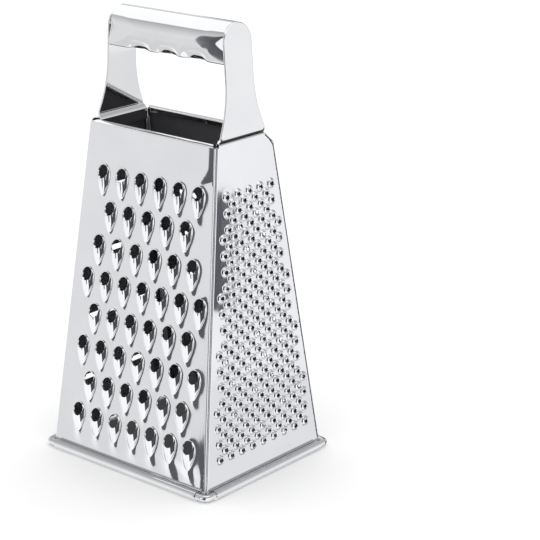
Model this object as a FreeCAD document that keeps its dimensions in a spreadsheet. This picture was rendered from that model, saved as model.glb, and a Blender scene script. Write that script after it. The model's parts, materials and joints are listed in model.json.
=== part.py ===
import FreeCAD, Part
import math
import os
import Sketcher
from FreeCAD import Placement, Rotation, Vector

# Box grater: four pressed sheet panels joined at the corners by clamped strips,
# a wire in the curled bottom edges, and a tubular grip between two end plates.
# Frame: +Z up, origin on the standing plane under the middle of the body,
# coarse panel towards -Y, fine panel towards +X. Millimetres.

doc = FreeCAD.newDocument("box_grater")
sheet = doc.addObject("Spreadsheet::Sheet", "dims")

D = {}
row = [0]


def cell(alias, value, note):
    row[0] += 1
    sheet.set("A%d" % row[0], note)
    sheet.set("B%d" % row[0], repr(float(value)))
    sheet.setAlias("B%d" % row[0], alias)
    D[alias] = float(value)


# ---------------------------------------------------------------- driving sizes
cell("overall_height", 240.0, "floor to top of grip")
cell("body_top", 181.5, "height of the panels' top edge")
cell("ref_level", 4.0, "height where the base half sizes are taken")
cell("top_half_width", 45.5, "half width of the body at its top (X)")
cell("base_half_width", 57.0, "half width of the body at ref_level (X)")
cell("top_half_depth", 21.75, "half depth of the body at its top (Y)")
cell("base_half_depth", 46.4, "half depth of the body at ref_level (Y)")
cell("sheet_thick", 0.55, "panel sheet thickness")
cell("fit_gap", 0.05, "clearance between mating sheets")
cell("rod_radius", 1.8, "base wire radius")
cell("rod_bend", 3.0, "base wire corner radius on its centre line")
cell("foot_flat", 0.05, "depth by which the curl is pressed flat underneath")
cell("curl_short", 4.6, "curl stops this far short of the corner")
cell("nose_radius", 0.7, "outer radius of the panels' turned-in side edges")
cell("flange_length", 2.6, "length of the turned-in side flange")
cell("hem_radius", 1.6, "outer radius of the rolled top edge")
cell("hem_drop", 5.0, "depth of the rolled top edge's inner leg")
cell("hem_short", 3.4, "rolled edge stops this far short of the corner")
cell("corner_cut", 6.0, "cut-off of the fine panel's top back corner")
cell("cleat_thick", 0.5, "corner strip sheet thickness")
cell("cleat_start", 2.6, "corner strip starts this far in from the corner")
cell("cleat_low", 3.0, "height of the corner strips' lower end")
cell("cleat_high", 175.5, "height of the corner strips' upper end")
cell("plate_thick", 1.2, "end plate sheet thickness")
cell("plate_inset", 1.2, "end plate face sits this far inside the side panel's plane")
cell("plate_round", 0.8, "rounding of the end plate's outer edge")
cell("plate_flare_radius", 63.6, "radius of the end plate's flared side")
cell("plate_straight", 17.6, "straight length of the end plate's side")
cell("tongue_half", 16.5, "half width of the end plate's tongue")
cell("tongue_drop", 6.6, "tongue reaches this far below the panel's top edge")
cell("grip_radius", 10.4, "outer radius of the grip's round top")
cell("grip_thick", 0.6, "grip sheet thickness")
cell("grip_low", 219.5, "height of the ridges under the grip")
cell("groove_depth", 2.4, "depth of the finger grooves")
cell("groove_pitch", 20.0, "spacing of the finger grooves")
cell("groove_centre", 0.5, "middle finger groove's X")
cell("underside_recess", 0.3, "finger plate sits this far above the shell's edge")
cell("coarse_pitch_x", 13.57, "coarse teeth: spacing across")
cell("coarse_pitch_y", 18.85, "coarse teeth: spacing of rows")
cell("coarse_first", 26.2, "coarse teeth: first row below the top edge")
cell("coarse_offset", 2.0, "coarse teeth: field's sideways offset")
cell("coarse_width", 6.9, "coarse teeth: width of the opening")
cell("coarse_lip", 3.0, "coarse teeth: lip below the opening's middle")
cell("coarse_tip", 12.0, "coarse teeth: tip below the opening's middle")
cell("coarse_radius", 4.4, "coarse teeth: scoop radius at the lip")
cell("coarse_sink", 2.0, "coarse teeth: scoop axis below the sheet at the lip")
cell("medium_pitch_x", 9.0, "medium teeth: spacing across")
cell("medium_pitch_y", 12.5, "medium teeth: spacing of rows")
cell("medium_first", 24.0, "medium teeth: first row below the top edge")
cell("medium_width", 3.9, "medium teeth: width of the opening")
cell("medium_lip", 1.7, "medium teeth: lip below the opening's middle")
cell("medium_tip", 7.4, "medium teeth: tip below the opening's middle")
cell("medium_radius", 2.6, "medium teeth: scoop radius at the lip")
cell("medium_sink", 1.15, "medium teeth: scoop axis below the sheet at the lip")
cell("burr_pitch", 4.25, "fine burrs: half spacing of the diagonal grid")
cell("burr_first", 27.2, "fine burrs: first row below the top edge")
cell("burr_rows", 33, "fine burrs: number of rows")
cell("burr_base", 2.1, "fine burrs: base radius")
cell("burr_crest", 1.1, "fine burrs: crest radius")
cell("burr_height", 1.3, "fine burrs: height")
cell("burr_hole", 0.75, "fine burrs: hole radius at the crest")
cell("slot_first", 44.0, "slicing slots: first blade below the top edge")
cell("slot_pitch", 36.0, "slicing slots: spacing")
cell("slot_ramp", 14.0, "slicing slots: length of the ramp")
cell("slot_rise", 2.6, "slicing slots: height of the blade")
cell("slot_mouth", 4.6, "slicing slots: height of the mouth")
cell("slot_margin", 13.0, "slicing slots: margin to the panel's side")

# ---------------------------------------------------------------- sizes that follow from them
rise = D["body_top"] - D["ref_level"]
lean_front = (D["base_half_depth"] - D["top_half_depth"]) / rise
lean_side = (D["base_half_width"] - D["top_half_width"]) / rise
tilt_front = math.atan(lean_front)
tilt_side = math.atan(lean_side)
curl_inner = D["rod_radius"] + D["fit_gap"]
curl_outer = curl_inner + D["sheet_thick"]
rod_level = curl_outer - D["foot_flat"]
z_front = rod_level - curl_inner * math.sin(tilt_front)
z_side = rod_level - curl_inner * math.sin(tilt_side)


def half_w(z):
    return D["top_half_width"] + (D["body_top"] - z) * lean_side


def half_d(z):
    return D["top_half_depth"] + (D["body_top"] - z) * lean_front


cell("curl_inner", curl_inner, "inner radius of the curl")
cell("curl_outer", curl_outer, "outer radius of the curl")
cell("rod_level", rod_level, "height of the base wire's centre")
cell("rod_half_x", half_w(z_side) + curl_inner * math.cos(tilt_side), "base wire half size X")
cell("rod_half_y", half_d(z_front) + curl_inner * math.cos(tilt_front), "base wire half size Y")
cell("front_slant", (D["body_top"] - z_front) / math.cos(tilt_front), "front panel slant length")
cell("side_slant", (D["body_top"] - z_side) / math.cos(tilt_side), "side panel slant length")
cell("front_low_half", half_w(z_front), "front panel half width at its foot")
cell("side_low_half", half_d(z_side), "side panel half width at its foot")
cell("nose_setback", (1.0 + math.sqrt(2.0)) * D["nose_radius"] + math.sqrt(2.0) * D["fit_gap"],
     "side edge bend starts this far from the corner")
cell("plate_top", (D["overall_height"] - z_side + D["plate_inset"] * math.sin(tilt_side)) / math.cos(tilt_side),
     "end plate's top along the side panel's slant")


# ---------------------------------------------------------------- numbers with their expression
class Q:
    """A value together with the expression that binds it to the sheet."""

    def __init__(self, value, text):
        self.value = value
        self.text = text

    def __add__(self, other):
        other = as_q(other)
        return Q(self.value + other.value, "(%s + %s)" % (self.text, other.text))

    def __sub__(self, other):
        other = as_q(other)
        return Q(self.value - other.value, "(%s - %s)" % (self.text, other.text))

    def __mul__(self, other):
        other = as_q(other)
        return Q(self.value * other.value, "(%s * %s)" % (self.text, other.text))

    def __truediv__(self, other):
        other = as_q(other)
        return Q(self.value / other.value, "(%s / %s)" % (self.text, other.text))

    def __neg__(self):
        return Q(-self.value, "(-1 * %s)" % self.text)


def as_q(x):
    return x if isinstance(x, Q) else Q(float(x), "(%.6f)" % x)


def q(alias):
    return Q(D[alias], "dims." + alias)


def new_sketch(body, plane, name):
    sk = body.newObject("Sketcher::SketchObject", name)
    support = [f for f in body.Origin.OriginFeatures if f.Role == plane][0]
    sk.AttachmentSupport = [(support, "")]
    sk.MapMode = "FlatFace"
    return sk


def bind(sk, constraint, quantity):
    index = sk.addConstraint(constraint)
    sk.setExpression("Constraints[%d]" % index, quantity.text)


def pin_point(sk, geo, pos, x, y):
    if abs(x.value) < 1e-9:
        sk.addConstraint(Sketcher.Constraint("PointOnObject", geo, pos, -2))
    else:
        bind(sk, Sketcher.Constraint("DistanceX", geo, pos, x.value), x)
    if abs(y.value) < 1e-9:
        sk.addConstraint(Sketcher.Constraint("PointOnObject", geo, pos, -1))
    else:
        bind(sk, Sketcher.Constraint("DistanceY", geo, pos, y.value), y)


def polygon(sk, points):
    points = [(as_q(x), as_q(y)) for x, y in points]
    n = len(points)
    ids = []
    for i in range(n):
        a, b = points[i], points[(i + 1) % n]
        ids.append(sk.addGeometry(Part.LineSegment(Vector(a[0].value, a[1].value, 0),
                                                   Vector(b[0].value, b[1].value, 0)), False))
    for i in range(n):
        sk.addConstraint(Sketcher.Constraint("Coincident", ids[i], 2, ids[(i + 1) % n], 1))
    for i in range(n):
        pin_point(sk, ids[i], 1, points[i][0], points[i][1])


def arc_of(cx, cy, r, a0, a1):
    return Part.ArcOfCircle(Part.Circle(Vector(cx, cy, 0), Vector(0, 0, 1), r),
                            math.radians(a0), math.radians(a1))


def band(sk, cx, cy, r_in, r_out, a0, a1):
    """Ring sector, counter-clockwise from a0 to a1 degrees."""
    cx, cy = as_q(cx), as_q(cy)
    outer = sk.addGeometry(arc_of(cx.value, cy.value, r_out.value, a0, a1), False)
    inner = sk.addGeometry(arc_of(cx.value, cy.value, r_in.value, a0, a1), False)
    ends = []
    for a in (a0, a1):
        u = Vector(math.cos(math.radians(a)), math.sin(math.radians(a)), 0)
        c = Vector(cx.value, cy.value, 0)
        ends.append(sk.addGeometry(Part.LineSegment(c + u * r_in.value, c + u * r_out.value), False))
    sk.addConstraint(Sketcher.Constraint("Coincident", inner, 1, ends[0], 1))
    sk.addConstraint(Sketcher.Constraint("Coincident", outer, 1, ends[0], 2))
    sk.addConstraint(Sketcher.Constraint("Coincident", inner, 2, ends[1], 1))
    sk.addConstraint(Sketcher.Constraint("Coincident", outer, 2, ends[1], 2))
    sk.addConstraint(Sketcher.Constraint("Coincident", outer, 3, inner, 3))
    pin_point(sk, outer, 3, cx, cy)
    bind(sk, Sketcher.Constraint("Radius", outer, r_out.value), r_out)
    bind(sk, Sketcher.Constraint("Radius", inner, r_in.value), r_in)
    for e, a in zip(ends, (a0, a1)):
        sk.addConstraint(Sketcher.Constraint("Angle", e, math.radians(a)))


def pad(body, sk, name, length, symmetric=False, reverse=False):
    f = body.newObject("PartDesign::Pad", name)
    f.Profile = sk
    f.Length = length.value
    f.setExpression("Length", length.text)
    if symmetric:
        f.SideType = "Symmetric"
    f.Reversed = reverse
    return f


# ---------------------------------------------------------------- panel blanks
# Local frame of a panel: X across, Y up the slope, Z out of the body; the
# outer face of the wall is Z = 0 and Y = 0 is level with the wire.
def panel_blank(name, low, top, slant):
    body = doc.addObject("PartDesign::Body", name)
    t = q("sheet_thick")
    wall_top = slant - q("hem_radius")
    run = (low - top) / slant
    half_low = low - q("nose_setback")
    half_top = half_low - run * wall_top

    sk = new_sketch(body, "XY_Plane", name + "_outline")
    polygon(sk, [(-half_low, 0), (half_low, 0), (half_top, wall_top), (-half_top, wall_top)])
    pad(body, sk, name + "_wall", t, reverse=True)

    # turned-in side edge: a tight bend, then a flange along the corner's diagonal
    r_o = q("nose_radius")
    r_i = r_o - t
    h = math.sqrt(0.5)
    cx, cz = half_low, -r_o
    sk = new_sketch(body, "XZ_Plane", name + "_edge_profile")
    outer = sk.addGeometry(arc_of(cx.value, cz.value, r_o.value, -45, 90), False)
    inner = sk.addGeometry(arc_of(cx.value, cz.value, r_i.value, -45, 90), False)
    c = Vector(cx.value, cz.value, 0)
    u = Vector(h, -h, 0)
    w = Vector(-h, -h, 0) * D["flange_length"]
    p = [c + Vector(0, r_i.value, 0), c + Vector(0, r_o.value, 0), c + u * r_o.value,
         c + u * r_o.value + w, c + u * r_i.value + w, c + u * r_i.value]
    joint = sk.addGeometry(Part.LineSegment(p[0], p[1]), False)
    face = sk.addGeometry(Part.LineSegment(p[2], p[3]), False)
    end = sk.addGeometry(Part.LineSegment(p[3], p[4]), False)
    back = sk.addGeometry(Part.LineSegment(p[4], p[5]), False)
    for a, ap, b, bp in ((inner, 2, joint, 1), (joint, 2, outer, 2), (outer, 1, face, 1),
                         (face, 2, end, 1), (end, 2, back, 1), (back, 2, inner, 1), (outer, 3, inner, 3)):
        sk.addConstraint(Sketcher.Constraint("Coincident", a, ap, b, bp))
    pin_point(sk, outer, 3, cx, cz)
    bind(sk, Sketcher.Constraint("Radius", outer, r_o.value), r_o)
    bind(sk, Sketcher.Constraint("Radius", inner, r_i.value), r_i)
    bind(sk, Sketcher.Constraint("Distance", face, D["flange_length"]), q("flange_length"))
    sk.addConstraint(Sketcher.Constraint("Vertical", joint))
    sk.addConstraint(Sketcher.Constraint("Angle", face, math.radians(225)))
    sk.addConstraint(Sketcher.Constraint("Perpendicular", face, end))
    sk.addConstraint(Sketcher.Constraint("Parallel", face, back))
    edge = body.newObject("PartDesign::Pad", name + "_edge")
    edge.Profile = sk
    edge.UseCustomVector = True
    edge.Direction = Vector(-run.value, 1.0, 0.0)
    edge.AlongSketchNormal = False
    edge_length = wall_top.value * math.hypot(1.0, run.value)
    edge.Length = edge_length
    mirror = body.newObject("PartDesign::Mirrored", name + "_edge_mirrored")
    mirror.Originals = [edge]
    mirror.MirrorPlane = ([f for f in body.Origin.OriginFeatures if f.Role == "YZ_Plane"][0], [""])
    body.Tip = mirror

    # curled bottom edge
    sk = new_sketch(body, "YZ_Plane", name + "_curl_profile")
    band(sk, 0, q("curl_inner"), q("curl_inner"), q("curl_outer"), -40, 270)
    pad(body, sk, name + "_curl", (low - q("curl_short")) * 2, symmetric=True)

    # rolled top edge with its inner leg
    rh = q("hem_radius")
    sk = new_sketch(body, "YZ_Plane", name + "_roll_profile")
    band(sk, wall_top, -rh, rh - t, rh, -90, 90)
    pad(body, sk, name + "_roll", (top - q("hem_short")) * 2, symmetric=True)
    sk = new_sketch(body, "YZ_Plane", name + "_leg_profile")
    leg_low = slant - q("hem_drop")
    polygon(sk, [(leg_low, -rh * 2), (wall_top, -rh * 2), (wall_top, t - rh * 2), (leg_low, t - rh * 2)])
    pad(body, sk, name + "_leg", (top - q("hem_short")) * 2, symmetric=True)
    return body


def panel_place(tilt, turn, half, z):
    rot = Rotation(Vector(0, 0, 1), turn) * Rotation(Vector(1, 0, 0), 90.0 - math.degrees(tilt))
    out = Rotation(Vector(0, 0, 1), turn).multVec(Vector(0, -half, 0))
    return Placement(Vector(out.x, out.y, z), rot)


places = {
    "front_panel": panel_place(tilt_front, 0, half_d(z_front), z_front),
    "right_panel": panel_place(tilt_side, 90, half_w(z_side), z_side),
    "back_panel": panel_place(tilt_front, 180, half_d(z_front), z_front),
    "left_panel": panel_place(tilt_side, 270, half_w(z_side), z_side),
}
front_sizes = (q("front_low_half"), q("top_half_width"), q("front_slant"))
side_sizes = (q("side_low_half"), q("top_half_depth"), q("side_slant"))
blanks = {}
for node in places:
    low, top, slant = front_sizes if node in ("front_panel", "back_panel") else side_sizes
    blanks[node] = panel_blank(node + "_blank", low, top, slant)

# ---------------------------------------------------------------- base wire
wire_body = doc.addObject("PartDesign::Body", "base_wire")
path = new_sketch(wire_body, "XY_Plane", "base_wire_path")
hx, hy, rb = D["rod_half_x"], D["rod_half_y"], D["rod_bend"]
runs = [
    Part.LineSegment(Vector(0, -hy, 0), Vector(hx - rb, -hy, 0)),
    arc_of(hx - rb, -hy + rb, rb, -90, 0),
    Part.LineSegment(Vector(hx, -hy + rb, 0), Vector(hx, hy - rb, 0)),
    arc_of(hx - rb, hy - rb, rb, 0, 90),
    Part.LineSegment(Vector(hx - rb, hy, 0), Vector(-hx + rb, hy, 0)),
    arc_of(-hx + rb, hy - rb, rb, 90, 180),
    Part.LineSegment(Vector(-hx, hy - rb, 0), Vector(-hx, -hy + rb, 0)),
    arc_of(-hx + rb, -hy + rb, rb, 180, 270),
    Part.LineSegment(Vector(-hx + rb, -hy, 0), Vector(0, -hy, 0)),
]
ids = [path.addGeometry(g, False) for g in runs]
for i in range(8):
    path.addConstraint(Sketcher.Constraint("Tangent", ids[i], 2, ids[i + 1], 1))
path.addConstraint(Sketcher.Constraint("Coincident", ids[8], 2, ids[0], 1))
for i, sx, sy in ((1, 1, -1), (3, 1, 1), (5, -1, 1), (7, -1, -1)):
    bind(path, Sketcher.Constraint("Radius", ids[i], rb), q("rod_bend"))
    pin_point(path, ids[i], 3, (q("rod_half_x") - q("rod_bend")) * sx, (q("rod_half_y") - q("rod_bend")) * sy)
path.addConstraint(Sketcher.Constraint("Horizontal", ids[0]))
path.addConstraint(Sketcher.Constraint("PointOnObject", ids[0], 1, -2))
section = new_sketch(wire_body, "YZ_Plane", "base_wire_section")
ring = section.addGeometry(Part.Circle(Vector(-hy, 0, 0), Vector(0, 0, 1), D["rod_radius"]), False)
bind(section, Sketcher.Constraint("Radius", ring, D["rod_radius"]), q("rod_radius"))
pin_point(section, ring, 3, -q("rod_half_y"), as_q(0))
pipe = wire_body.newObject("PartDesign::AdditivePipe", "base_wire_pipe")
pipe.Profile = section
pipe.Spine = (path, ["Edge%d" % (i + 1) for i in range(9)])
wire_body.Placement = Placement(Vector(0, 0, rod_level), Rotation())
wire_body.setExpression("Placement.Base.z", "dims.rod_level")

# ---------------------------------------------------------------- corner strips
# U section open towards the corner, drawn level with local X along the inward
# diagonal and drawn out along the leaning corner line.
cleats = []
for name, sx, sy in (("corner_cleat_front_left", -1, -1), ("corner_cleat_front_right", 1, -1),
                     ("corner_cleat_back_right", 1, 1), ("corner_cleat_back_left", -1, 1)):
    body = doc.addObject("PartDesign::Body", name)
    sk = new_sketch(body, "XY_Plane", name + "_section")
    slot = q("fit_gap") * 2 + q("sheet_thick")
    wide = slot + q("cleat_thick")
    flange_start = q("nose_setback") * math.sqrt(0.5) + q("nose_radius") * math.sqrt(0.5)
    floor_in = flange_start + q("flange_length") + q("fit_gap")
    floor_out = floor_in + q("cleat_thick")
    start = q("cleat_start")
    polygon(sk, [(start, -wide), (floor_out, -wide), (floor_out, wide), (start, wide),
                 (start, slot), (floor_in, slot), (floor_in, -slot), (start, -slot)])
    f = body.newObject("PartDesign::Pad", name + "_strip")
    f.Profile = sk
    lean = Vector(-sx * lean_side, -sy * lean_front, 1.0)
    turn = math.degrees(math.atan2(-sy, -sx))
    local = Rotation(Vector(0, 0, 1), -turn).multVec(lean)
    f.UseCustomVector = True
    f.Direction = local
    f.AlongSketchNormal = True
    f.setExpression("Length", "dims.cleat_high - dims.cleat_low")
    z = D["cleat_low"]
    body.Placement = Placement(Vector(sx * half_w(z), sy * half_d(z), z), Rotation(Vector(0, 0, 1), turn))
    cleats.append(body)

# ---------------------------------------------------------------- handle end plates
# Drawn in the side panels' local frame: X across, Y up the slope, Z outwards.
def plate_outline(sk, inset, foot):
    r = D["grip_radius"] - inset
    cy = D["plate_top"] - D["grip_radius"]
    y1 = cy - D["plate_straight"]
    fr = D["plate_flare_radius"]
    a0 = math.asin((y1 - foot) / (fr + inset))
    fx = D["grip_radius"] + fr
    top = sk.addGeometry(arc_of(0, cy, r, 0, 180), False)
    x_foot = fx - (fr + inset) * math.cos(a0)
    right = sk.addGeometry(Part.LineSegment(Vector(r, cy, 0), Vector(r, y1, 0)), False)
    flare_r = sk.addGeometry(arc_of(fx, y1, fr + inset, 180, 180 + math.degrees(a0)), False)
    bottom = sk.addGeometry(Part.LineSegment(Vector(x_foot, foot, 0), Vector(-x_foot, foot, 0)), False)
    flare_l = sk.addGeometry(arc_of(-fx, y1, fr + inset, -math.degrees(a0), 0), False)
    left = sk.addGeometry(Part.LineSegment(Vector(-r, y1, 0), Vector(-r, cy, 0)), False)
    for a, ap, b, bp in ((top, 1, right, 1), (right, 2, flare_r, 1), (flare_l, 2, left, 1), (left, 2, top, 2)):
        sk.addConstraint(Sketcher.Constraint("Tangent", a, ap, b, bp))
    for a, ap, b, bp in ((flare_r, 2, bottom, 1), (bottom, 2, flare_l, 1)):
        sk.addConstraint(Sketcher.Constraint("Coincident", a, ap, b, bp))
    bind(sk, Sketcher.Constraint("Radius", top, r), q("grip_radius") - inset)
    pin_point(sk, top, 3, as_q(0), q("plate_top") - q("grip_radius"))
    bind(sk, Sketcher.Constraint("Radius", flare_r, fr + inset), q("plate_flare_radius") + inset)
    bind(sk, Sketcher.Constraint("Radius", flare_l, fr + inset), q("plate_flare_radius") + inset)
    sk.addConstraint(Sketcher.Constraint("Vertical", right))
    sk.addConstraint(Sketcher.Constraint("Vertical", left))
    sk.addConstraint(Sketcher.Constraint("Horizontal", bottom))
    shoulder = q("plate_top") - q("grip_radius") - q("plate_straight")
    bind(sk, Sketcher.Constraint("DistanceY", right, 2, y1), shoulder)
    bind(sk, Sketcher.Constraint("DistanceY", left, 1, y1), shoulder)
    bind(sk, Sketcher.Constraint("DistanceY", bottom, 1, foot), q("side_slant") + (foot - D["side_slant"]))


plates = []
for name, turn in (("end_plate_right", 90), ("end_plate_left", 270)):
    body = doc.addObject("PartDesign::Body", name)
    t = q("plate_thick")
    face = -q("plate_inset")
    foot = D["side_slant"] + 1.5
    sk = new_sketch(body, "XY_Plane", name + "_outline")
    sk.AttachmentOffset = Placement(Vector(0, 0, -D["plate_inset"]), Rotation())
    sk.setExpression("AttachmentOffset.Base.z", face.text)
    plate_outline(sk, 0.0, foot)
    blank = pad(body, sk, name + "_blank", t, reverse=True)
    doc.recompute()
    # rounded outer edge, except along the foot
    rim = []
    for k, e in enumerate(blank.Shape.Edges):
        box = e.BoundBox
        if box.ZMin > face.value - 1e-4 and box.YMax > foot + 1e-3:
            rim.append("Edge%d" % (k + 1))
    fillet = body.newObject("PartDesign::Fillet", name + "_rounding")
    fillet.Base = (blank, rim)
    fillet.Radius = D["plate_round"]
    fillet.setExpression("Radius", q("plate_round").text)
    # shoulder and tongue that go down inside the side panel
    s = q("side_slant")
    z_out = -(q("hem_radius") * 2 + q("fit_gap"))
    z_in = z_out - t
    sk = new_sketch(body, "YZ_Plane", name + "_tongue_profile")
    polygon(sk, [(s + 1.5, face), (s - 0.5, z_out), (s - q("tongue_drop"), z_out),
                 (s - q("tongue_drop"), z_in), (s - 0.25, z_in), (s + 1.85, face - t), (s + 2.6, face - t),
                 (s + 2.6, face)])
    pad(body, sk, name + "_tongue", q("tongue_half") * 2, symmetric=True)
    body.Placement = panel_place(tilt_side, turn, half_w(z_side), z_side)
    plates.append(body)

# ---------------------------------------------------------------- grip
# End planes: just inside the end plates.
end_depth = D["plate_inset"] + D["plate_thick"] + D["fit_gap"]


def grip_end(z):
    c, s = math.cos(tilt_side), math.sin(tilt_side)
    return (half_w(z_side) * c + z_side * s - end_depth - z * s) / c


def wave(offset, half_len):
    """Finger grooves: arcs from left to right, raised by offset."""
    low, depth, pitch, mid = D["grip_low"], D["groove_depth"], D["groove_pitch"], D["groove_centre"]
    qx, qz = pitch / 4.0, depth / 2.0
    r = (qx * qx + qz * qz) / (2.0 * qz)
    a = math.degrees(math.asin(qx / r))
    items = []
    centres = [mid - pitch, mid, mid + pitch]
    x0 = centres[0] - pitch / 2.0
    items.append(Part.LineSegment(Vector(-half_len, low + offset, 0), Vector(x0, low + offset, 0)))
    for i, x in enumerate(centres):
        items.append(arc_of(x - pitch / 2.0, low + r, r - offset, 270, 270 + a))
        items.append(arc_of(x, low + depth - r, r + offset, 90 - a, 90 + a))
        items.append(arc_of(x + pitch / 2.0, low + r, r - offset, 270 - a, 270))
    x1 = centres[-1] + pitch / 2.0
    items.append(Part.LineSegment(Vector(x1, low + offset, 0), Vector(half_len, low + offset, 0)))
    return items, r


def chain(sk, items):
    """Adds a left-to-right chain; a groove's arc runs the other way round."""
    ids = [sk.addGeometry(g, False) for g in items]
    tail = []
    for k, g in enumerate(items):
        flipped = isinstance(g, Part.ArcOfCircle) and g.Location.y < D["grip_low"]
        tail.append((ids[k], 2, 1) if flipped else (ids[k], 1, 2))
    for k in range(len(ids) - 1):
        sk.addConstraint(Sketcher.Constraint("Coincident", tail[k][0], tail[k][2], tail[k + 1][0], tail[k + 1][1]))
    return ids, tail


def bind_wave(sk, ids, items, offset):
    pitch, depth = q("groove_pitch"), q("groove_depth")
    r = (pitch * pitch / 16 + depth * depth / 4) / depth
    for k, g in enumerate(items):
        if isinstance(g, Part.ArcOfCircle):
            groove = g.Location.y < D["grip_low"]
            sign = r + offset if groove else r - offset
            bind(sk, Sketcher.Constraint("Radius", ids[k], g.Radius), sign)


shell = doc.addObject("PartDesign::Body", "grip_shell")
gr, gt = q("grip_radius"), q("grip_thick")
axis_z = q("overall_height") - gr
leg = q("grip_low") - 3
sk = new_sketch(shell, "YZ_Plane", "grip_shell_section")
outer = sk.addGeometry(arc_of(0, axis_z.value, gr.value, 0, 180), False)
inner = sk.addGeometry(arc_of(0, axis_z.value, gr.value - gt.value, 0, 180), False)
ri = gr.value - gt.value
pts = [Vector(gr.value, axis_z.value, 0), Vector(gr.value, leg.value, 0), Vector(ri, leg.value, 0), Vector(ri, axis_z.value, 0)]
r_lines = [sk.addGeometry(Part.LineSegment(pts[i], pts[i + 1]), False) for i in range(3)]
l_lines = [sk.addGeometry(Part.LineSegment(Vector(-pts[i].x, pts[i].y, 0), Vector(-pts[i + 1].x, pts[i + 1].y, 0)), False)
           for i in range(3)]
for a, ap, b, bp in ((outer, 1, r_lines[0], 1), (r_lines[2], 2, inner, 1), (inner, 2, l_lines[2], 2), (l_lines[0], 1, outer, 2)):
    sk.addConstraint(Sketcher.Constraint("Tangent", a, ap, b, bp))
for a, ap, b, bp in ((r_lines[0], 2, r_lines[1], 1), (r_lines[1], 2, r_lines[2], 1), (l_lines[2], 1, l_lines[1], 2),
                     (l_lines[1], 1, l_lines[0], 2), (outer, 3, inner, 3)):
    sk.addConstraint(Sketcher.Constraint("Coincident", a, ap, b, bp))
pin_point(sk, outer, 3, as_q(0), axis_z)
bind(sk, Sketcher.Constraint("Radius", outer, gr.value), gr)
bind(sk, Sketcher.Constraint("Radius", inner, ri), gr - gt)
for line in (r_lines[0], r_lines[2], l_lines[0], l_lines[2]):
    sk.addConstraint(Sketcher.Constraint("Vertical", line))
for line in (r_lines[1], l_lines[1]):
    sk.addConstraint(Sketcher.Constraint("Horizontal", line))
    bind(sk, Sketcher.Constraint("DistanceY", line, 1, leg.value), leg)
pad(shell, sk, "grip_shell_tube", as_q(92.0), symmetric=True)
# scalloped lower edge
sk = new_sketch(shell, "XZ_Plane", "grip_shell_scallops")
items, wave_r = wave(0.0, 50.0)
ids, tail = chain(sk, items)
low_z = D["grip_low"] - 12.0
close = [Part.LineSegment(Vector(50, D["grip_low"], 0), Vector(50, low_z, 0)),
         Part.LineSegment(Vector(50, low_z, 0), Vector(-50, low_z, 0)),
         Part.LineSegment(Vector(-50, low_z, 0), Vector(-50, D["grip_low"], 0))]
cid = [sk.addGeometry(g, False) for g in close]
sk.addConstraint(Sketcher.Constraint("Coincident", tail[-1][0], tail[-1][2], cid[0], 1))
sk.addConstraint(Sketcher.Constraint("Coincident", cid[0], 2, cid[1], 1))
sk.addConstraint(Sketcher.Constraint("Coincident", cid[1], 2, cid[2], 1))
sk.addConstraint(Sketcher.Constraint("Coincident", cid[2], 2, tail[0][0], tail[0][1]))
bind_wave(sk, ids, items, 0.0)
cut = shell.newObject("PartDesign::Pocket", "grip_shell_scallop_cut")
cut.Profile = sk
cut.Type = "ThroughAll"
cut.SideType = "Symmetric"
# slanted ends
za, zb = D["grip_low"] - 14.0, D["overall_height"] + 6.0
for side, tag in ((1, "right"), (-1, "left")):
    sk = new_sketch(shell, "XZ_Plane", "grip_shell_end_" + tag)
    polygon(sk, [(side * grip_end(za), za), (side * 70.0, za), (side * 70.0, zb), (side * grip_end(zb), zb)])
    cut = shell.newObject("PartDesign::Pocket", "grip_shell_end_cut_" + tag)
    cut.Profile = sk
    cut.Type = "ThroughAll"
    cut.SideType = "Symmetric"

under = doc.addObject("PartDesign::Body", "grip_underside")
sk = new_sketch(under, "XZ_Plane", "grip_underside_profile")
o1 = D["underside_recess"]
o2 = o1 + D["grip_thick"]
lower, _ = wave(o1, grip_end(D["grip_low"] + o1))
upper, _ = wave(o2, grip_end(D["grip_low"] + o2))
ids1, tail1 = chain(sk, lower)
ids2, tail2 = chain(sk, upper)
e1 = sk.addGeometry(Part.LineSegment(lower[-1].EndPoint, upper[-1].EndPoint), False)
e0 = sk.addGeometry(Part.LineSegment(lower[0].StartPoint, upper[0].StartPoint), False)
sk.addConstraint(Sketcher.Constraint("Coincident", tail1[-1][0], tail1[-1][2], e1, 1))
sk.addConstraint(Sketcher.Constraint("Coincident", tail2[-1][0], tail2[-1][2], e1, 2))
sk.addConstraint(Sketcher.Constraint("Coincident", tail1[0][0], tail1[0][1], e0, 1))
sk.addConstraint(Sketcher.Constraint("Coincident", tail2[0][0], tail2[0][1], e0, 2))
bind_wave(sk, ids1, lower, o1)
bind_wave(sk, ids2, upper, o2)
pad(under, sk, "grip_underside_plate", (gr - gt - q("fit_gap")) * 2, symmetric=True)

doc.recompute()

# ---------------------------------------------------------------- teeth
# The tooth fields are staggered and trimmed to the panels' taper, so they are
# set out one by one and pressed into the finished blanks.
t = D["sheet_thick"]
floor = Part.makeBox(400, 400, 20, Vector(-200, -200, -20))


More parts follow.
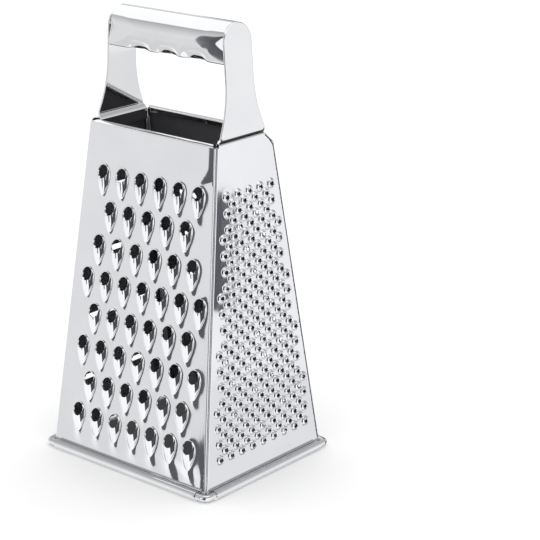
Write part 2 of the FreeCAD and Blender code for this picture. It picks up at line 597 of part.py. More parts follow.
def scoop(width, lip, tip, radius, sink):
    """Scoop shell and its cutter, for an opening centred on the origin."""
    apex = Vector(0, -tip, 0)
    base = Vector(0, -lip, -sink)
    axis = base - apex
    length = axis.Length
    direction = Vector(axis).normalize()
    angle = math.atan2(radius, length)
    k = 1.4
    outer = Part.makeCone(0.0, radius * k, length * k, apex, direction)
    keep = Part.makeBox(60, tip - lip + 30, 40, Vector(-30, -tip - 30, -t * 0.5))
    outer = outer.common(keep)
    wall = t * 0.9
    shift = wall / math.sin(angle)
    inner_len = length * k - shift
    inner = Part.makeCone(0.0, inner_len * math.tan(angle), inner_len, apex + direction * shift, direction)
    inner = inner.common(Part.makeBox(60, tip + 30, 40, Vector(-30, -lip - tip - 30, -20)))
    half = width / 2.0
    top = (lip + half) * 0.10
    mouth = Part.makeBox(width, lip + top, 20, Vector(-half, -lip, -5))
    crown = Part.makeCylinder(half, 20, Vector(0, top, -5))
    cutter = inner.fuse([mouth, crown])
    return outer, cutter


def moved(shape, x, y):
    c = shape.copy()
    c.translate(Vector(x, y, 0))
    return c


def press(blank, adds, cuts):
    shape = blank.Shape.copy()
    if adds:
        shape = shape.fuse(adds)
    if cuts:
        shape = shape.cut(cuts)
    return shape


def coarse_sites():
    sites = []
    counts = (6, 5, 6, 7, 6, 7, 6, 7)
    for i, n in enumerate(counts):
        s = D["coarse_first"] + i * D["coarse_pitch_y"]
        for k in range(n):
            x = (k - (n - 1) / 2.0) * D["coarse_pitch_x"] + D["coarse_offset"]
            sites.append((x, D["front_slant"] - s))
    return sites


def medium_sites():
    sites = []
    i = 0
    while True:
        s = D["medium_first"] + i * D["medium_pitch_y"]
        if s > D["front_slant"] - 18.0:
            break
        half = D["top_half_width"] + (D["front_low_half"] - D["top_half_width"]) * s / D["front_slant"] - 8.0
        shift = 0.5 if i % 2 else 0.0
        n = int(half / D["medium_pitch_x"]) + 2
        for k in range(-n, n + 1):
            x = (k + shift) * D["medium_pitch_x"]
            if abs(x) <= half:
                sites.append((x, D["front_slant"] - s))
        i += 1
    return sites


def burr_sites():
    sites = []
    for j in range(int(D["burr_rows"])):
        s = D["burr_first"] + j * D["burr_pitch"]
        limit = 14.3 + 0.1449 * s
        for i in range(-9, 10):
            u = i * D["burr_pitch"]
            if (i + j) % 2 == 0 and abs(u) <= limit:
                sites.append((u, D["side_slant"] - s))
    return sites


def finish_panel(node, shape):
    place = places[node]
    under_floor = floor.copy()
    under_floor.transformShape(place.inverse().toMatrix())
    shape = shape.cut(under_floor)
    if node == "right_panel":
        # cut-off corner at the top, towards the back panel
        c = D["corner_cut"]
        y = D["side_slant"]
        x = D["top_half_depth"]
        tri = Part.Face(Part.makePolygon([Vector(x - c, y, -8), Vector(x + 4, y - c - 4, -8), Vector(x + 6, y + 6, -8),
                                          Vector(x - c, y + 6, -8), Vector(x - c, y, -8)]))
        shape = shape.cut(tri.extrude(Vector(0, 0, 16)))
    if len(shape.Solids) != 1:
        raise RuntimeError("%s came out as %d solids" % (node, len(shape.Solids)))
    obj = doc.addObject("Part::Feature", node)
    obj.Label = node
    obj.Shape = shape.Solids[0]
    obj.Placement = place
    return obj


panels = []
adds, cuts = [], []
proto = scoop(D["coarse_width"], D["coarse_lip"], D["coarse_tip"], D["coarse_radius"], D["coarse_sink"])
for x, y in coarse_sites():
    adds.append(moved(proto[0], x, y))
    cuts.append(moved(proto[1], x, y))
panels.append(finish_panel("front_panel", press(blanks["front_panel"], adds, cuts)))

adds, cuts = [], []
proto = scoop(D["medium_width"], D["medium_lip"], D["medium_tip"], D["medium_radius"], D["medium_sink"])
for x, y in medium_sites():
    adds.append(moved(proto[0], x, y))
    cuts.append(moved(proto[1], x, y))
panels.append(finish_panel("back_panel", press(blanks["back_panel"], adds, cuts)))

adds, cuts = [], []
hb = D["burr_height"]
slope = (D["burr_base"] - D["burr_crest"]) / hb
out_cone = Part.makeCone(D["burr_base"] + slope * 0.25, D["burr_crest"], hb + 0.25, Vector(0, 0, -0.25))
in_slope = (D["burr_base"] - 0.35 - D["burr_hole"]) / (hb + t)
in_cone = Part.makeCone(D["burr_base"] - 0.35 + in_slope * 0.3, D["burr_hole"] - in_slope * 0.3, hb + t + 0.6,
                        Vector(0, 0, -t - 0.3))
for x, y in burr_sites():
    adds.append(moved(out_cone, x, y))
    cuts.append(moved(in_cone, x, y))
panels.append(finish_panel("right_panel", press(blanks["right_panel"], adds, cuts)))

adds, cuts = [], []
ramp, lift, mouth = D["slot_ramp"], D["slot_rise"], D["slot_mouth"]
for i in range(4):
    s = D["slot_first"] + i * D["slot_pitch"]
    y = D["side_slant"] - s
    half = D["top_half_depth"] + (D["side_low_half"] - D["top_half_depth"]) * s / D["side_slant"] - D["slot_margin"]
    outer = Part.Face(Part.makePolygon([Vector(-half, y - ramp, -t * 0.5), Vector(-half, y, -t * 0.5), Vector(-half, y, lift),
                                        Vector(-half, y - ramp, 0), Vector(-half, y - ramp, -t * 0.5)]))
    adds.append(outer.extrude(Vector(2 * half, 0, 0)))
    k = lift / ramp
    drop = t * math.hypot(1.0, k)
    w = half - t
    inner = Part.Face(Part.makePolygon([Vector(-w, y - ramp + drop / k - t / k, -t), Vector(-w, y - ramp + drop / k - t / k, -t - 0.3),
                                        Vector(-w, y + 0.2, -t - 0.3), Vector(-w, y + 0.2, lift - drop + 0.2 * k),
                                        Vector(-w, y - ramp + drop / k - t / k, -t)]))
    cuts.append(inner.extrude(Vector(2 * w, 0, 0)))
    cuts.append(Part.makeBox(2 * half, mouth, 6, Vector(-half, y, -3)))
panels.append(finish_panel("left_panel", press(blanks["left_panel"], adds, cuts)))

doc.recompute()

# ---------------------------------------------------------------- checks and export
failed = [o.Name for o in doc.Objects if [s for s in o.State if s in ("Invalid", "Error")]]
if failed:
    raise RuntimeError("failed objects: " + ", ".join(failed))

nodes = panels + [wire_body] + cleats + plates + [shell, under]
for obj in nodes:
    if obj.Shape.isNull() or not obj.Shape.isValid() or len(obj.Shape.Solids) != 1:
        raise RuntimeError("%s has a bad shape" % obj.Label)

os.makedirs("parts", exist_ok=True)
for obj in nodes:
    obj.Shape.exportStep("parts/%s.step" % obj.Label)
    b = obj.Shape.BoundBox
    print("%-26s volume %9.1f  x %7.2f %7.2f  y %7.2f %7.2f  z %7.2f %7.2f" % (
        obj.Label, obj.Shape.Volume, b.XMin, b.XMax, b.YMin, b.YMax, b.ZMin, b.ZMax))
print("coarse %d medium %d burrs %d" % (len(coarse_sites()), len(medium_sites()), len(burr_sites())))
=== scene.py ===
import bpy
import json
import math
import numpy as np
from mathutils import Matrix, Vector
from mathutils.geometry import delaunay_2d_cdt

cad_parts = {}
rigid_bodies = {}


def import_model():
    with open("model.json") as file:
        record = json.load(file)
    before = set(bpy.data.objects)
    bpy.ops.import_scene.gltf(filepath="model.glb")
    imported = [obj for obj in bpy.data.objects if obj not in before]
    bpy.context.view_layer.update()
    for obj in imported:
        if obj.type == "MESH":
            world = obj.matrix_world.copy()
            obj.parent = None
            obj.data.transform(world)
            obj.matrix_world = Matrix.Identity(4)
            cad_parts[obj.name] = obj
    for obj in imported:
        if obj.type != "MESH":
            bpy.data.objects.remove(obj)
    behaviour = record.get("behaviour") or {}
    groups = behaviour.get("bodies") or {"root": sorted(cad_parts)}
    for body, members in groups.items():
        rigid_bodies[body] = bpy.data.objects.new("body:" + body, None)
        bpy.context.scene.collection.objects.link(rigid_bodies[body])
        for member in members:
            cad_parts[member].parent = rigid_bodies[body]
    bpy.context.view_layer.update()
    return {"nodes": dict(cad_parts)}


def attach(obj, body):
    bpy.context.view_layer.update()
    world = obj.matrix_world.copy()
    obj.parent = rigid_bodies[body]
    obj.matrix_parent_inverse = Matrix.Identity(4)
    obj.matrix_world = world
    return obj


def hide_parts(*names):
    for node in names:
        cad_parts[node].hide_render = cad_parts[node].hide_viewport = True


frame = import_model()

MM = 0.001

# ------------------------------------------------------------------ sizes (mm)
BODY_TOP, REF = 181.5, 4.0
TOP_W, BASE_W, TOP_D, BASE_D = 45.5, 57.0, 21.75, 46.4
T = 0.55
GAP = 0.05
ROD_R, ROD_BEND = 1.8, 3.0
CURL_SHORT = 4.6
NOSE_R, FLANGE = 0.7, 2.6
HEM_R, HEM_FOLD, HEM_DROP, HEM_SHORT = 1.6, 0.75, 2.8, 2.1
CORNER_CUT = 6.0
PLATE_T, PLATE_INSET = 1.2, 1.2
GRIP_R, GRIP_LOW, GROOVE, PITCH, GROOVE_X = 10.4, 219.5, 2.4, 20.0, 0.5
HEIGHT = 240.0

LEAN_F = (BASE_D - TOP_D) / (BODY_TOP - REF)
LEAN_S = (BASE_W - TOP_W) / (BODY_TOP - REF)
TILT_F, TILT_S = math.atan(LEAN_F), math.atan(LEAN_S)
CURL_IN = ROD_R + GAP
CURL_OUT = CURL_IN + T
ROD_Z = CURL_OUT - 0.05
Z_F = ROD_Z - CURL_IN * math.sin(TILT_F)
Z_S = ROD_Z - CURL_IN * math.sin(TILT_S)


def half_w(z):
    return TOP_W + (BODY_TOP - z) * LEAN_S


def half_d(z):
    return TOP_D + (BODY_TOP - z) * LEAN_F


LEN_F = (BODY_TOP - Z_F) / math.cos(TILT_F)
LEN_S = (BODY_TOP - Z_S) / math.cos(TILT_S)
SETBACK = (1 + math.sqrt(2)) * NOSE_R + math.sqrt(2) * GAP
ROD_X = half_w(Z_S) + CURL_IN * math.cos(TILT_S)
ROD_Y = half_d(Z_F) + CURL_IN * math.cos(TILT_F)


def place(turn, tilt, half, z):
    """Panel frame (X across, Y up the slope, Z outwards) to the part's frame."""
    rot = Matrix.Rotation(math.radians(turn), 3, "Z") @ Matrix.Rotation(math.pi / 2 - tilt, 3, "X")
    off = Matrix.Rotation(math.radians(turn), 3, "Z") @ Vector((0, -half, 0))
    return np.array(rot), np.array((off.x, off.y, z))


PLACES = {
    "front": place(0, TILT_F, half_d(Z_F), Z_F),
    "right": place(90, TILT_S, half_w(Z_S), Z_S),
    "back": place(180, TILT_F, half_d(Z_F), Z_F),
    "left": place(270, TILT_S, half_w(Z_S), Z_S),
}
IDENT = (np.eye(3), np.zeros(3))


# ------------------------------------------------------------------ mesh helpers
def unit(v):
    return v / np.maximum(np.linalg.norm(v, axis=-1, keepdims=True), 1e-12)


class Skin:
    """One face of a sheet, with a normal at each point; close() gives it its thickness."""

    def __init__(self):
        self.p, self.n, self.f, self.g = [], [], [], []

    def add(self, pts, nrm):
        base = len(self.p)
        self.p.extend(np.asarray(pts, float))
        self.n.extend(unit(np.asarray(nrm, float)))
        return list(range(base, base + len(pts)))

    def strip(self, a, b, closed=False, group=0):
        """Quads between two index rows of equal length."""
        m = len(a)
        for i in range(m if closed else m - 1):
            j = (i + 1) % m
            self.f.append((a[i], a[j], b[j], b[i]))
            self.g.append(group)

    def close(self, thick):
        p, n = np.array(self.p), np.array(self.n)
        count = len(p)
        groups = np.array(self.g if self.g else [0] * len(self.f))
        sizes = np.array([len(f) for f in self.f])
        out, nrm, mats = [], [], []
        inner, inner_n, inner_m = [], [], []
        edge_a, edge_b = [], []
        for k in (3, 4):
            sel = np.nonzero(sizes == k)[0]
            if not len(sel):
                continue
            f = np.array([self.f[i] for i in sel])
            fn = np.zeros((len(f), 3))
            for i in range(1, k - 1):
                fn += np.cross(p[f[:, i]] - p[f[:, 0]], p[f[:, i + 1]] - p[f[:, 0]])
            flip = np.einsum("ij,ij->i", fn, n[f].sum(axis=1)) < 0
            f[flip] = f[flip][:, ::-1]
            for i in range(k):
                edge_a.append(f[:, i])
                edge_b.append(f[:, (i + 1) % k])
            out.extend(f.tolist())
            nrm.append(n[f].reshape(-1, 3))
            mats.append(np.zeros(len(f), int))
            r = f[:, ::-1]
            inner.extend((r + count).tolist())
            inner_n.append(-n[r].reshape(-1, 3))
            inner_m.append(groups[sel])
        a, b = np.concatenate(edge_a), np.concatenate(edge_b)
        lone = ~np.isin(b.astype(np.int64) * count + a, a.astype(np.int64) * count + b)
        a, b = a[lone], b[lone]
        verts = np.vstack([p, p - n * thick])
        q = np.stack([b, a, a + count, b + count], axis=1)
        w = unit(np.cross(verts[q[:, 1]] - verts[q[:, 0]], verts[q[:, 3]] - verts[q[:, 0]]))
        soft = np.zeros((2 * count, 3))
        for i in range(4):
            np.add.at(soft, q[:, i], w)
        soft = unit(soft)
        rim_n = soft[q]
        sharp = np.einsum("ijk,ik->ij", rim_n, w) < 0.7
        rim_n[sharp] = np.repeat(w[:, None, :], 4, axis=1)[sharp]
        faces = out + inner + q.tolist()
        normals = np.vstack(nrm + inner_n + [rim_n.reshape(-1, 3)])
        material = np.concatenate(mats + inner_m + [np.zeros(len(q), int)])
        return verts, faces, normals, material


def make_object(name, verts, faces, normals, material, where, slots):
    rot, off = where
    v = (np.asarray(verts) @ rot.T + off) * MM
    mesh = bpy.data.meshes.new(name)
    mesh.from_pydata(v.tolist(), [], faces)
    mesh.polygons.foreach_set("use_smooth", np.ones(len(mesh.polygons), bool))
    for m in slots:
        mesh.materials.append(m)
    mesh.polygons.foreach_set("material_index", np.asarray(material, np.int32))
    mesh.update()
    mesh.normals_split_custom_set((np.asarray(normals) @ rot.T).tolist())
    obj = bpy.data.objects.new(name, mesh)
    bpy.context.scene.collection.objects.link(obj)
    return obj


def join_parts(parts):
    """Several (verts, faces, normals, material) as one."""
    verts, faces, normals, material = [], [], [], []
    base = 0
    for v, f, n, m in parts:
        verts.append(np.asarray(v))
        faces.extend([i + base for i in g] for g in f)
        normals.append(np.asarray(n))
        material.append(np.asarray(m))
        base += len(v)
    return np.vstack(verts), faces, np.vstack(normals), np.concatenate(material)


# ------------------------------------------------------------------ tooth shapes
class Patch:
    """A pressed tooth as rings of points, from the flat sheet round its foot to the edge of its opening."""

    def finish(self, rings):
        self.p = np.asarray(rings, float)
        du = np.roll(self.p, -1, axis=1) - np.roll(self.p, 1, axis=1)
        dv = np.gradient(self.p, axis=0)
        n = unit(np.cross(du, dv))
        if n[:, :, 2].mean() < 0:
            n = -n
        self.n = n
        foot = self.p[0, :, :2]
        tan = np.roll(foot, -1, axis=0) - np.roll(foot, 1, axis=0)
        self.out = unit(np.stack([tan[:, 1], -tan[:, 0]], axis=1))
        self.foot = foot
        self.reach = float(np.abs(foot).max()) + 6.0

    def draw(self, x, y):
        """How the sheet round the foot was pulled up by the pressing."""
        return np.zeros_like(x)

    def near(self):
        """Loose points round the foot."""
        return np.zeros((0, 2))


class Scoop(Patch):
    """Shredding tooth: a round opening over a raised scoop that tapers to a point."""

    LIP, TIP, MID, TOP, WIDE = -3.45, -12.6, -1.4, 4.35, 4.6

    def __init__(self, k, n_lip=21, n_top=27, steps=(0, 0.03, 0.08, 0.15, 0.24, 0.34, 0.45, 0.56, 0.67, 0.78, 0.88, 0.95, 1)):
        self.k = k
        v = np.linspace(-1, 1, n_lip)
        ang = np.radians(np.linspace(-27, 207, n_top + 2)[1:-1])
        inner = [(3.0 * a, self.LIP + 1.9 * a * a) for a in v]
        inner = np.array(inner + [(3.38 * math.cos(a), 0.1 + (3.75 if a > 0 and a < math.pi else 3.4) * math.sin(a)) for a in ang])
        s = np.linspace(0, 1, 400) ** 2
        x, y = self.half(self.TIP + (self.MID - self.TIP) * s), self.TIP + (self.MID - self.TIP) * s
        run = np.concatenate([[0], np.cumsum(np.hypot(np.diff(x), np.diff(y)))])
        run /= run[-1]
        outer = np.stack([np.interp(np.abs(v), run, x) * np.sign(v), np.interp(np.abs(v), run, y)], axis=1)
        t = np.pi * np.linspace(0, 1, n_top + 2)[1:-1]
        upper = np.stack([self.WIDE * np.cos(t), self.MID + (self.TOP - self.MID) * np.sin(t)], axis=1)
        outer = np.vstack([outer, upper])
        tan = np.roll(outer, -1, axis=0) - np.roll(outer, 1, axis=0)
        n2 = unit(np.stack([tan[:, 1], -tan[:, 0]], axis=1))
        rings = [np.column_stack([outer + n2 * d, np.full(len(outer), z)]) for d, z in ((0.55, 0.0), (0.25, 0.014))]
        for f in steps:
            xy = outer * (1 - f) + inner * f
            rings.append(np.column_stack([xy, np.sqrt(self.rise(xy[:, 0], xy[:, 1]) ** 2 + 0.06 ** 2)]))
        self.finish(np.array(rings) * k)

    def half(self, y):
        s = np.clip((y - self.TIP) / (self.MID - self.TIP), 0, 1)
        low = self.WIDE * (1 - (1 - s) ** 1.7) ** 0.8
        q = np.clip((y - self.MID) / (self.TOP - self.MID), 0, 1)
        return np.where(y < self.MID, low, self.WIDE * np.sqrt(1 - q * q))

    def rise(self, x, y):
        u = np.clip((y - self.TIP) / (self.MID - self.TIP), 0, 1)
        q = np.clip((y - self.MID) / (self.TOP - self.MID), 0, 1)
        h = np.where(y < self.MID, 0.65 * (1 - (1 - u) ** 1.8) + 0.35 * u, 1 - q * q * (3 - 2 * q))
        v = np.clip(np.abs(x) / np.maximum(self.half(y), 1e-6), 0, 1)
        return 1.85 * h * (1 - v * v) ** 0.75

    def draw(self, x, y):
        x, y = x / self.k, y / self.k
        beside = np.abs(x) - self.half(y)
        above = (np.hypot(x / self.WIDE, (y - self.MID) / (self.TOP - self.MID)) - 1) * self.WIDE
        d = np.where(y < self.TIP, np.hypot(x, y - self.TIP), np.where(y < self.MID, beside, above))
        f = np.clip((y - self.TIP + 7.0) / 7.0, 0, 1)
        g = np.clip((self.TIP + 5.0 - y) / 5.0, 0, 1)
        ridge = np.exp(-((x - 0.25 * (self.TIP - y)) / 3.0) ** 2) * f * f * (3 - 2 * f) * g * g * (3 - 2 * g)
        return self.k * (0.12 * np.exp(-np.maximum(d, 0) / 1.3) + 0.12 * ridge)

    def near(self):
        pts = [self.foot + self.out * d * self.k for d in (0.5, 1.1, 1.9, 3.0)]
        tail = [(x, self.TIP - 0.9 - d) for d in (0.3, 1.0, 1.8, 2.8, 4.0) for x in (-3.4, -2.2, -1.2, -0.4, 0.4, 1.2, 2.2, 3.4)]
        return np.vstack(pts + [np.array(tail) * self.k])


class Burr(Patch):
    """Fine tooth pierced from behind: a small dome whose top is torn open into a crown of points."""

    def __init__(self, rng):
        turn = math.pi / 4 + rng.uniform(-0.35, 0.35)
        phi = np.linspace(0, 2 * math.pi, 24, endpoint=False)
        d = np.abs(((phi + math.pi / 4) % (math.pi / 2)) - math.pi / 4) / (math.pi / 4)
        lobe = np.round(phi / (math.pi / 2)).astype(int) % 4
        tall = rng.uniform(0.55, 1.25, 4)[lobe]
        lean = rng.uniform(-0.12, 0.14, 4)[lobe]
        size = rng.uniform(0.95, 1.02)
        rings = []
        for r, z in ((2.93, 0.0), (2.82, 0.04), (2.73, 0.19), (2.60, 0.43), (2.42, 0.69), (2.20, 0.89), (2.00, 1.02), (1.82, 1.10)):
            rings.append((r if r > 2.8 else r * size, z))
        rows = [np.column_stack([r * np.cos(phi + turn), r * np.sin(phi + turn), np.full(24, z)]) for r, z in rings]
        rim = (1.56 + 0.16 * d - lean * (1 - d)) * size
        rows.append(np.column_stack([rim * np.cos(phi + turn), rim * np.sin(phi + turn), 1.24 + 0.45 * tall * (1 - d)]))
        self.finish(rows)

    def draw(self, x, y):
        return 0.04 * np.exp(-(x * x + y * y) / 4.4)


class Slot(Patch):
    """Slicing slot: a long raised blade over a ramp, with a rounded mouth above it."""

    def __init__(self, half):
        w, wide, low, top, rb, rt = half - 1.0, half + 1.6, -14.0, 6.0, 6.0, 4.0
        m = 17
        end = []
        for a in np.radians(np.linspace(-90, 0, 30)):
            end.append((wide - rb + rb * math.cos(a), low + rb + rb * math.sin(a)))
        for a in np.radians(np.linspace(0, 90, 30)):
            end.append((wide - rt + rt * math.cos(a), top - rt + rt * math.sin(a)))
        end = np.array(end)
        run = np.concatenate([[0], np.cumsum(np.hypot(*np.diff(end, axis=0).T))])
        at = np.linspace(0, run[-1], m + 2)[1:-1]
        end = np.stack([np.interp(at, run, end[:, 0]), np.interp(at, run, end[:, 1])], axis=1)
        a = np.linspace(-math.pi / 2, math.pi / 2, m + 2)[1:-1]
        tip = np.stack([w + 1.2 * np.cos(a), 2.3 + 2.3 * np.sin(a)], axis=1)
        row = np.linspace(-1, 1, 31)
        flip = np.array((-1.0, 1.0))
        outer = np.vstack([np.stack([row * (wide - rb), np.full(31, low)], axis=1), end,
                           np.stack([-row * (wide - rt), np.full(31, top)], axis=1), end[::-1] * flip])
        inner = np.vstack([np.stack([row * w, np.zeros(31)], axis=1), tip,
                           np.stack([-row * w, np.full(31, 4.6)], axis=1), tip[::-1] * flip])
        rings = []
        for f in (0, 0.02, 0.05, 0.1, 0.18, 0.28, 0.4, 0.52, 0.64, 0.76, 0.87, 0.95, 1):
            xy = outer * (1 - f) + inner * f
            g = min(1.0, f / 0.12)
            rings.append(np.column_stack([xy, self.rise(xy[:, 0], xy[:, 1], half) * g * g * (3 - 2 * g)]))
        self.finish(rings)

    def rise(self, x, y, half):
        up = np.clip((y + 14.0) / 14.0, 0, 1)
        over = np.clip(y / 6.0, 0, 1)
        h = 2.6 * np.where(y < 0, up ** 1.15, 1 - over * over * (3 - 2 * over))
        e = np.clip((np.abs(x) - (half - 3.5)) / 5.1, 0, 1)
        return h * (1 - e * e)


def waves(x, y, seed):
    """Faint unevenness of the rolled and pressed sheet."""
    rng = np.random.default_rng(seed)
    z = np.zeros_like(x)
    for _ in range(7):
        kx, ky = rng.uniform(-0.085, 0.085), rng.uniform(-0.06, 0.06)
        z = z + rng.uniform(0.2, 1.0) * np.cos(kx * x + ky * y + rng.uniform(0, 6.28))
    return 0.011 * z


ROLL_ZONE = 5.0


def in_polygon(pts, poly):
    x, y = pts[:, 0], pts[:, 1]
    hit = np.zeros(len(pts), bool)
    for i in range(len(poly)):
        (x0, y0), (x1, y1) = poly[i - 1], poly[i]
        if y0 == y1:
            continue
        cross = (y0 > y) != (y1 > y)
        hit ^= cross & (x < x0 + (y - y0) * (x1 - x0) / (y1 - y0))
    return hit


def panel_skin(low, top, length, teeth, seed, cut_side=0, roll_top=0.03, extra=None, soft=0.0, crown=0.0, flare=0.0):
    """The whole pressed panel as one skin: wall with teeth, side flanges, roll and curl.
    teeth: list of (x, y, patch)."""
    run = (low - top) / length
    wall_top = length - HEM_R

    def side(y):
        return low - run * y - SETBACK

    def roll(x, y):
        """How far the sheet falls off towards a side edge, more on the right near the top,
        and over which width: wider just above the first row's last tooth when it flares."""
        if flare:
            f = np.clip((y - (length - 24.5) - 0.4 * (x - side(y) + 7.0)) / 5.0, 0, 1)
        else:
            f = np.clip((y - (length - 34.0)) / 24.0, 0, 1)
        f = np.where(x > 0, f * f * (3 - 2 * f), 0.0)
        w = np.clip((length - 11.0 - y) / 11.0, 0, 1)
        return 0.02 + (roll_top - 0.02) * f, ROLL_ZONE + flare * f * w * w * (3 - 2 * w)

    def relief(x, y):
        z = np.zeros_like(x)
        for tx, ty, shape in teeth:
            m = (np.abs(x - tx) < shape.reach) & (np.abs(y - ty) < shape.reach)
            if m.any():
                z[m] += shape.draw(x[m] - tx, y[m] - ty)
        edge = side(y)
        fall, zone = roll(x, y)
        d = np.clip(np.abs(x) - (edge - zone), 0, None)
        fade = np.clip(y / 20.0, 0, 1) * np.clip((length - y) / 12.0, 0, 1) * np.clip((edge - np.abs(x)) / 9.0, 0, 1)
        q = np.clip((edge - np.abs(x)) / 3.5, 0, 1)
        z = z * np.clip(y / 6.0, 0, 1) * q * q * (3 - 2 * q) - fall * (d / ROLL_ZONE) ** 2 + waves(x, y, seed) * fade
        if extra is not None:
            z = z + extra(x, y, edge)
        return z - soft / 2.8 * np.clip(x - (edge - 1.4), 0, None) ** 2

    def relief_grad(x, y):
        e = 0.03
        gx = (relief(x + e, y) - relief(x - e, y)) / (2 * e)
        gy = (relief(x, y + e) - relief(x, y - e)) / (2 * e)
        return relief(x, y), gx, gy

    # outline stations
    top_left = top_right = wall_top
    hem_l = hem_r = top - HEM_SHORT
    if cut_side > 0:
        top_right = wall_top - CORNER_CUT + 0.6
        hem_r = top - CORNER_CUT - 1.0
    if cut_side < 0:
        top_left = wall_top - CORNER_CUT + 1.4
        hem_l = top - CORNER_CUT - 2.0
    curl = low - CURL_SHORT
    loop, kind = [], []

    def put(x, y, k):
        loop.append((x, y))
        kind.append(k)

    for x in np.linspace(-curl, curl, 41):
        if x == -curl:
            put(-side(0), 0, "L")
        put(x, 0, "B")
    for y in np.linspace(0, top_right, 65):
        put(side(y), y, "R")
    for x in np.linspace(hem_r, -hem_l, 31):
        put(x, wall_top, "T")
    if cut_side < 0:
        put(-hem_l - 0.8, wall_top - 3.2, "N")
    for y in np.linspace(top_left, 0, 65)[:-1]:
        put(-side(y), y, "L")
    loop = np.array(loop)
    n_loop = len(loop)

    pts = [loop]
    edges = [(i, (i + 1) % n_loop) for i in range(n_loop)]
    owner = [np.full(n_loop, -1)]
    base = n_loop
    starts = []
    for k, (tx, ty, shape) in enumerate(teeth):
        o = shape.foot + (tx, ty)
        pts.append(o)
        starts.append(base)
        owner.append(np.full(len(o), k))
        edges += [(base + i, base + (i + 1) % len(o)) for i in range(len(o))]
        base += len(o)
    # loose points: round the teeth, along the edges and over the plain sheet
    free = [shape.near() + (tx, ty) for tx, ty, shape in teeth]
    gx, gy = np.meshgrid(np.arange(-60, 60.1, 4.25), np.arange(3.0, length, 4.25))
    free.append(np.stack([gx.ravel() + (np.round(gy.ravel() / 4.25) % 2) * 2.1, gy.ravel()], axis=1))
    for d in (0.8, 1.7, 2.7, 3.9, 5.2, 7.2):
        y = np.arange(1.6, wall_top - 1.2, 2.6)
        free.append(np.stack([side(y) - d, y], axis=1))
        free.append(np.stack([-(side(y) - d), y], axis=1))
    if flare:
        gx, gy = np.meshgrid(np.arange(1.9, 13.0, 1.1), np.arange(length - 27.0, length - 8.0, 1.1))
        free.append(np.stack([side(gy.ravel()) - gx.ravel(), gy.ravel()], axis=1))
    free = np.vstack(free)
    inner = (np.abs(free[:, 0]) < side(free[:, 1]) - 0.6) & (free[:, 1] > 1.0) & (free[:, 1] < wall_top - 1.0)
    if cut_side:
        if cut_side > 0:
            way = np.array((side(top_right) - hem_r, top_right - wall_top))
            away = np.array((-way[1], way[0])) / np.hypot(*way)
            inner &= (np.array((hem_r, wall_top)) - free) @ away > 0.8
        else:
            inner &= ~((-free[:, 0] > hem_l - 0.8) & (free[:, 1] > top_left - 0.8))
    free = free[inner]
    keep = np.ones(len(free), bool)
    for tx, ty, shape in teeth:
        m = np.nonzero(keep & (np.abs(free[:, 0] - tx) < shape.reach) & (np.abs(free[:, 1] - ty) < shape.reach))[0]
        if len(m):
            keep[m[in_polygon(free[m] - (tx, ty), shape.foot + shape.out * 0.3)]] = False
    free = free[keep]
    pts.append(free)
    owner.append(np.full(len(free), -2))
    allp = np.vstack(pts)
    owner = np.concatenate(owner)

    res = delaunay_2d_cdt([Vector(map(float, p)) for p in allp], edges, [], 0, 1e-5, True)
    vco = np.array([(v.x, v.y) for v in res[0]])
    own = np.full(len(vco), -2)
    at = {}
    for i, o in enumerate(res[3]):
        for s in o:
            if s < len(owner):
                at[s] = i
                if owner[s] >= 0 or own[i] == -2:
                    own[i] = owner[s]
    tri = np.array([list(f) for f in res[2]])
    a, b, c = vco[tri[:, 0]], vco[tri[:, 1]], vco[tri[:, 2]]
    size = np.abs((b[:, 0] - a[:, 0]) * (c[:, 1] - a[:, 1]) - (b[:, 1] - a[:, 1]) * (c[:, 0] - a[:, 0]))
    o = own[tri]
    drop = (o[:, 0] >= 0) & (o[:, 0] == o[:, 1]) & (o[:, 0] == o[:, 2])
    longest = np.max([((a - b) ** 2).sum(axis=1), ((b - c) ** 2).sum(axis=1), ((c - a) ** 2).sum(axis=1)], axis=0)
    tri = tri[~drop & (size > 1e-4 * longest)]

    z, zx, zy = relief_grad(vco[:, 0], vco[:, 1])
    skin = Skin()
    skin.add(np.column_stack([vco, z]), np.column_stack([-zx, -zy, np.ones(len(vco))]))
    skin.f = [tuple(t) for t in tri.tolist()]
    # group 1: the inner side of the wall, teeth and noses takes the second slot, the dark inside material, painted
    # shade for the inside of the body
    skin.g = [1] * len(skin.f)

    # ---- the teeth themselves
    if teeth:
        body = [shape.p[1:].reshape(-1, 3) + (tx, ty, 0) for tx, ty, shape in teeth]
        turn = [shape.n[1:].reshape(-1, 3) for tx, ty, shape in teeth]
        cuts = np.cumsum([0] + [len(p) for p in body])
        body, turn = np.vstack(body), np.vstack(turn)
        z, zx, zy = relief_grad(body[:, 0], body[:, 1])
        body[:, 2] += z
        turn = turn - np.column_stack([zx * turn[:, 2], zy * turn[:, 2], np.zeros(len(turn))])
        for k, (tx, ty, shape) in enumerate(teeth):
            ids = skin.add(body[cuts[k]:cuts[k + 1]], turn[cuts[k]:cuts[k + 1]])
            m = shape.p.shape[1]
            prev = [at[starts[k] + i] for i in range(m)]
            for r in range(shape.p.shape[0] - 1):
                cur = ids[r * m:(r + 1) * m]
                skin.strip(prev, cur, closed=True, group=1)
                prev = cur

    # ---- bottom curl round the wire
    idx = [at[i] for i in range(n_loop) if kind[i] == "B"]
    prev = idx
    xs = vco[idx, 0]
    for a in np.radians(np.linspace(270, -40, 30)[1:]):
        q = np.stack([xs, np.full_like(xs, CURL_IN * math.cos(a)), np.full_like(xs, CURL_IN + CURL_IN * math.sin(a))], axis=1)
        nn = np.tile((0, -math.cos(a), -math.sin(a)), (len(xs), 1))
        cur = skin.add(q, nn)
        skin.strip(prev, cur)
        prev = cur

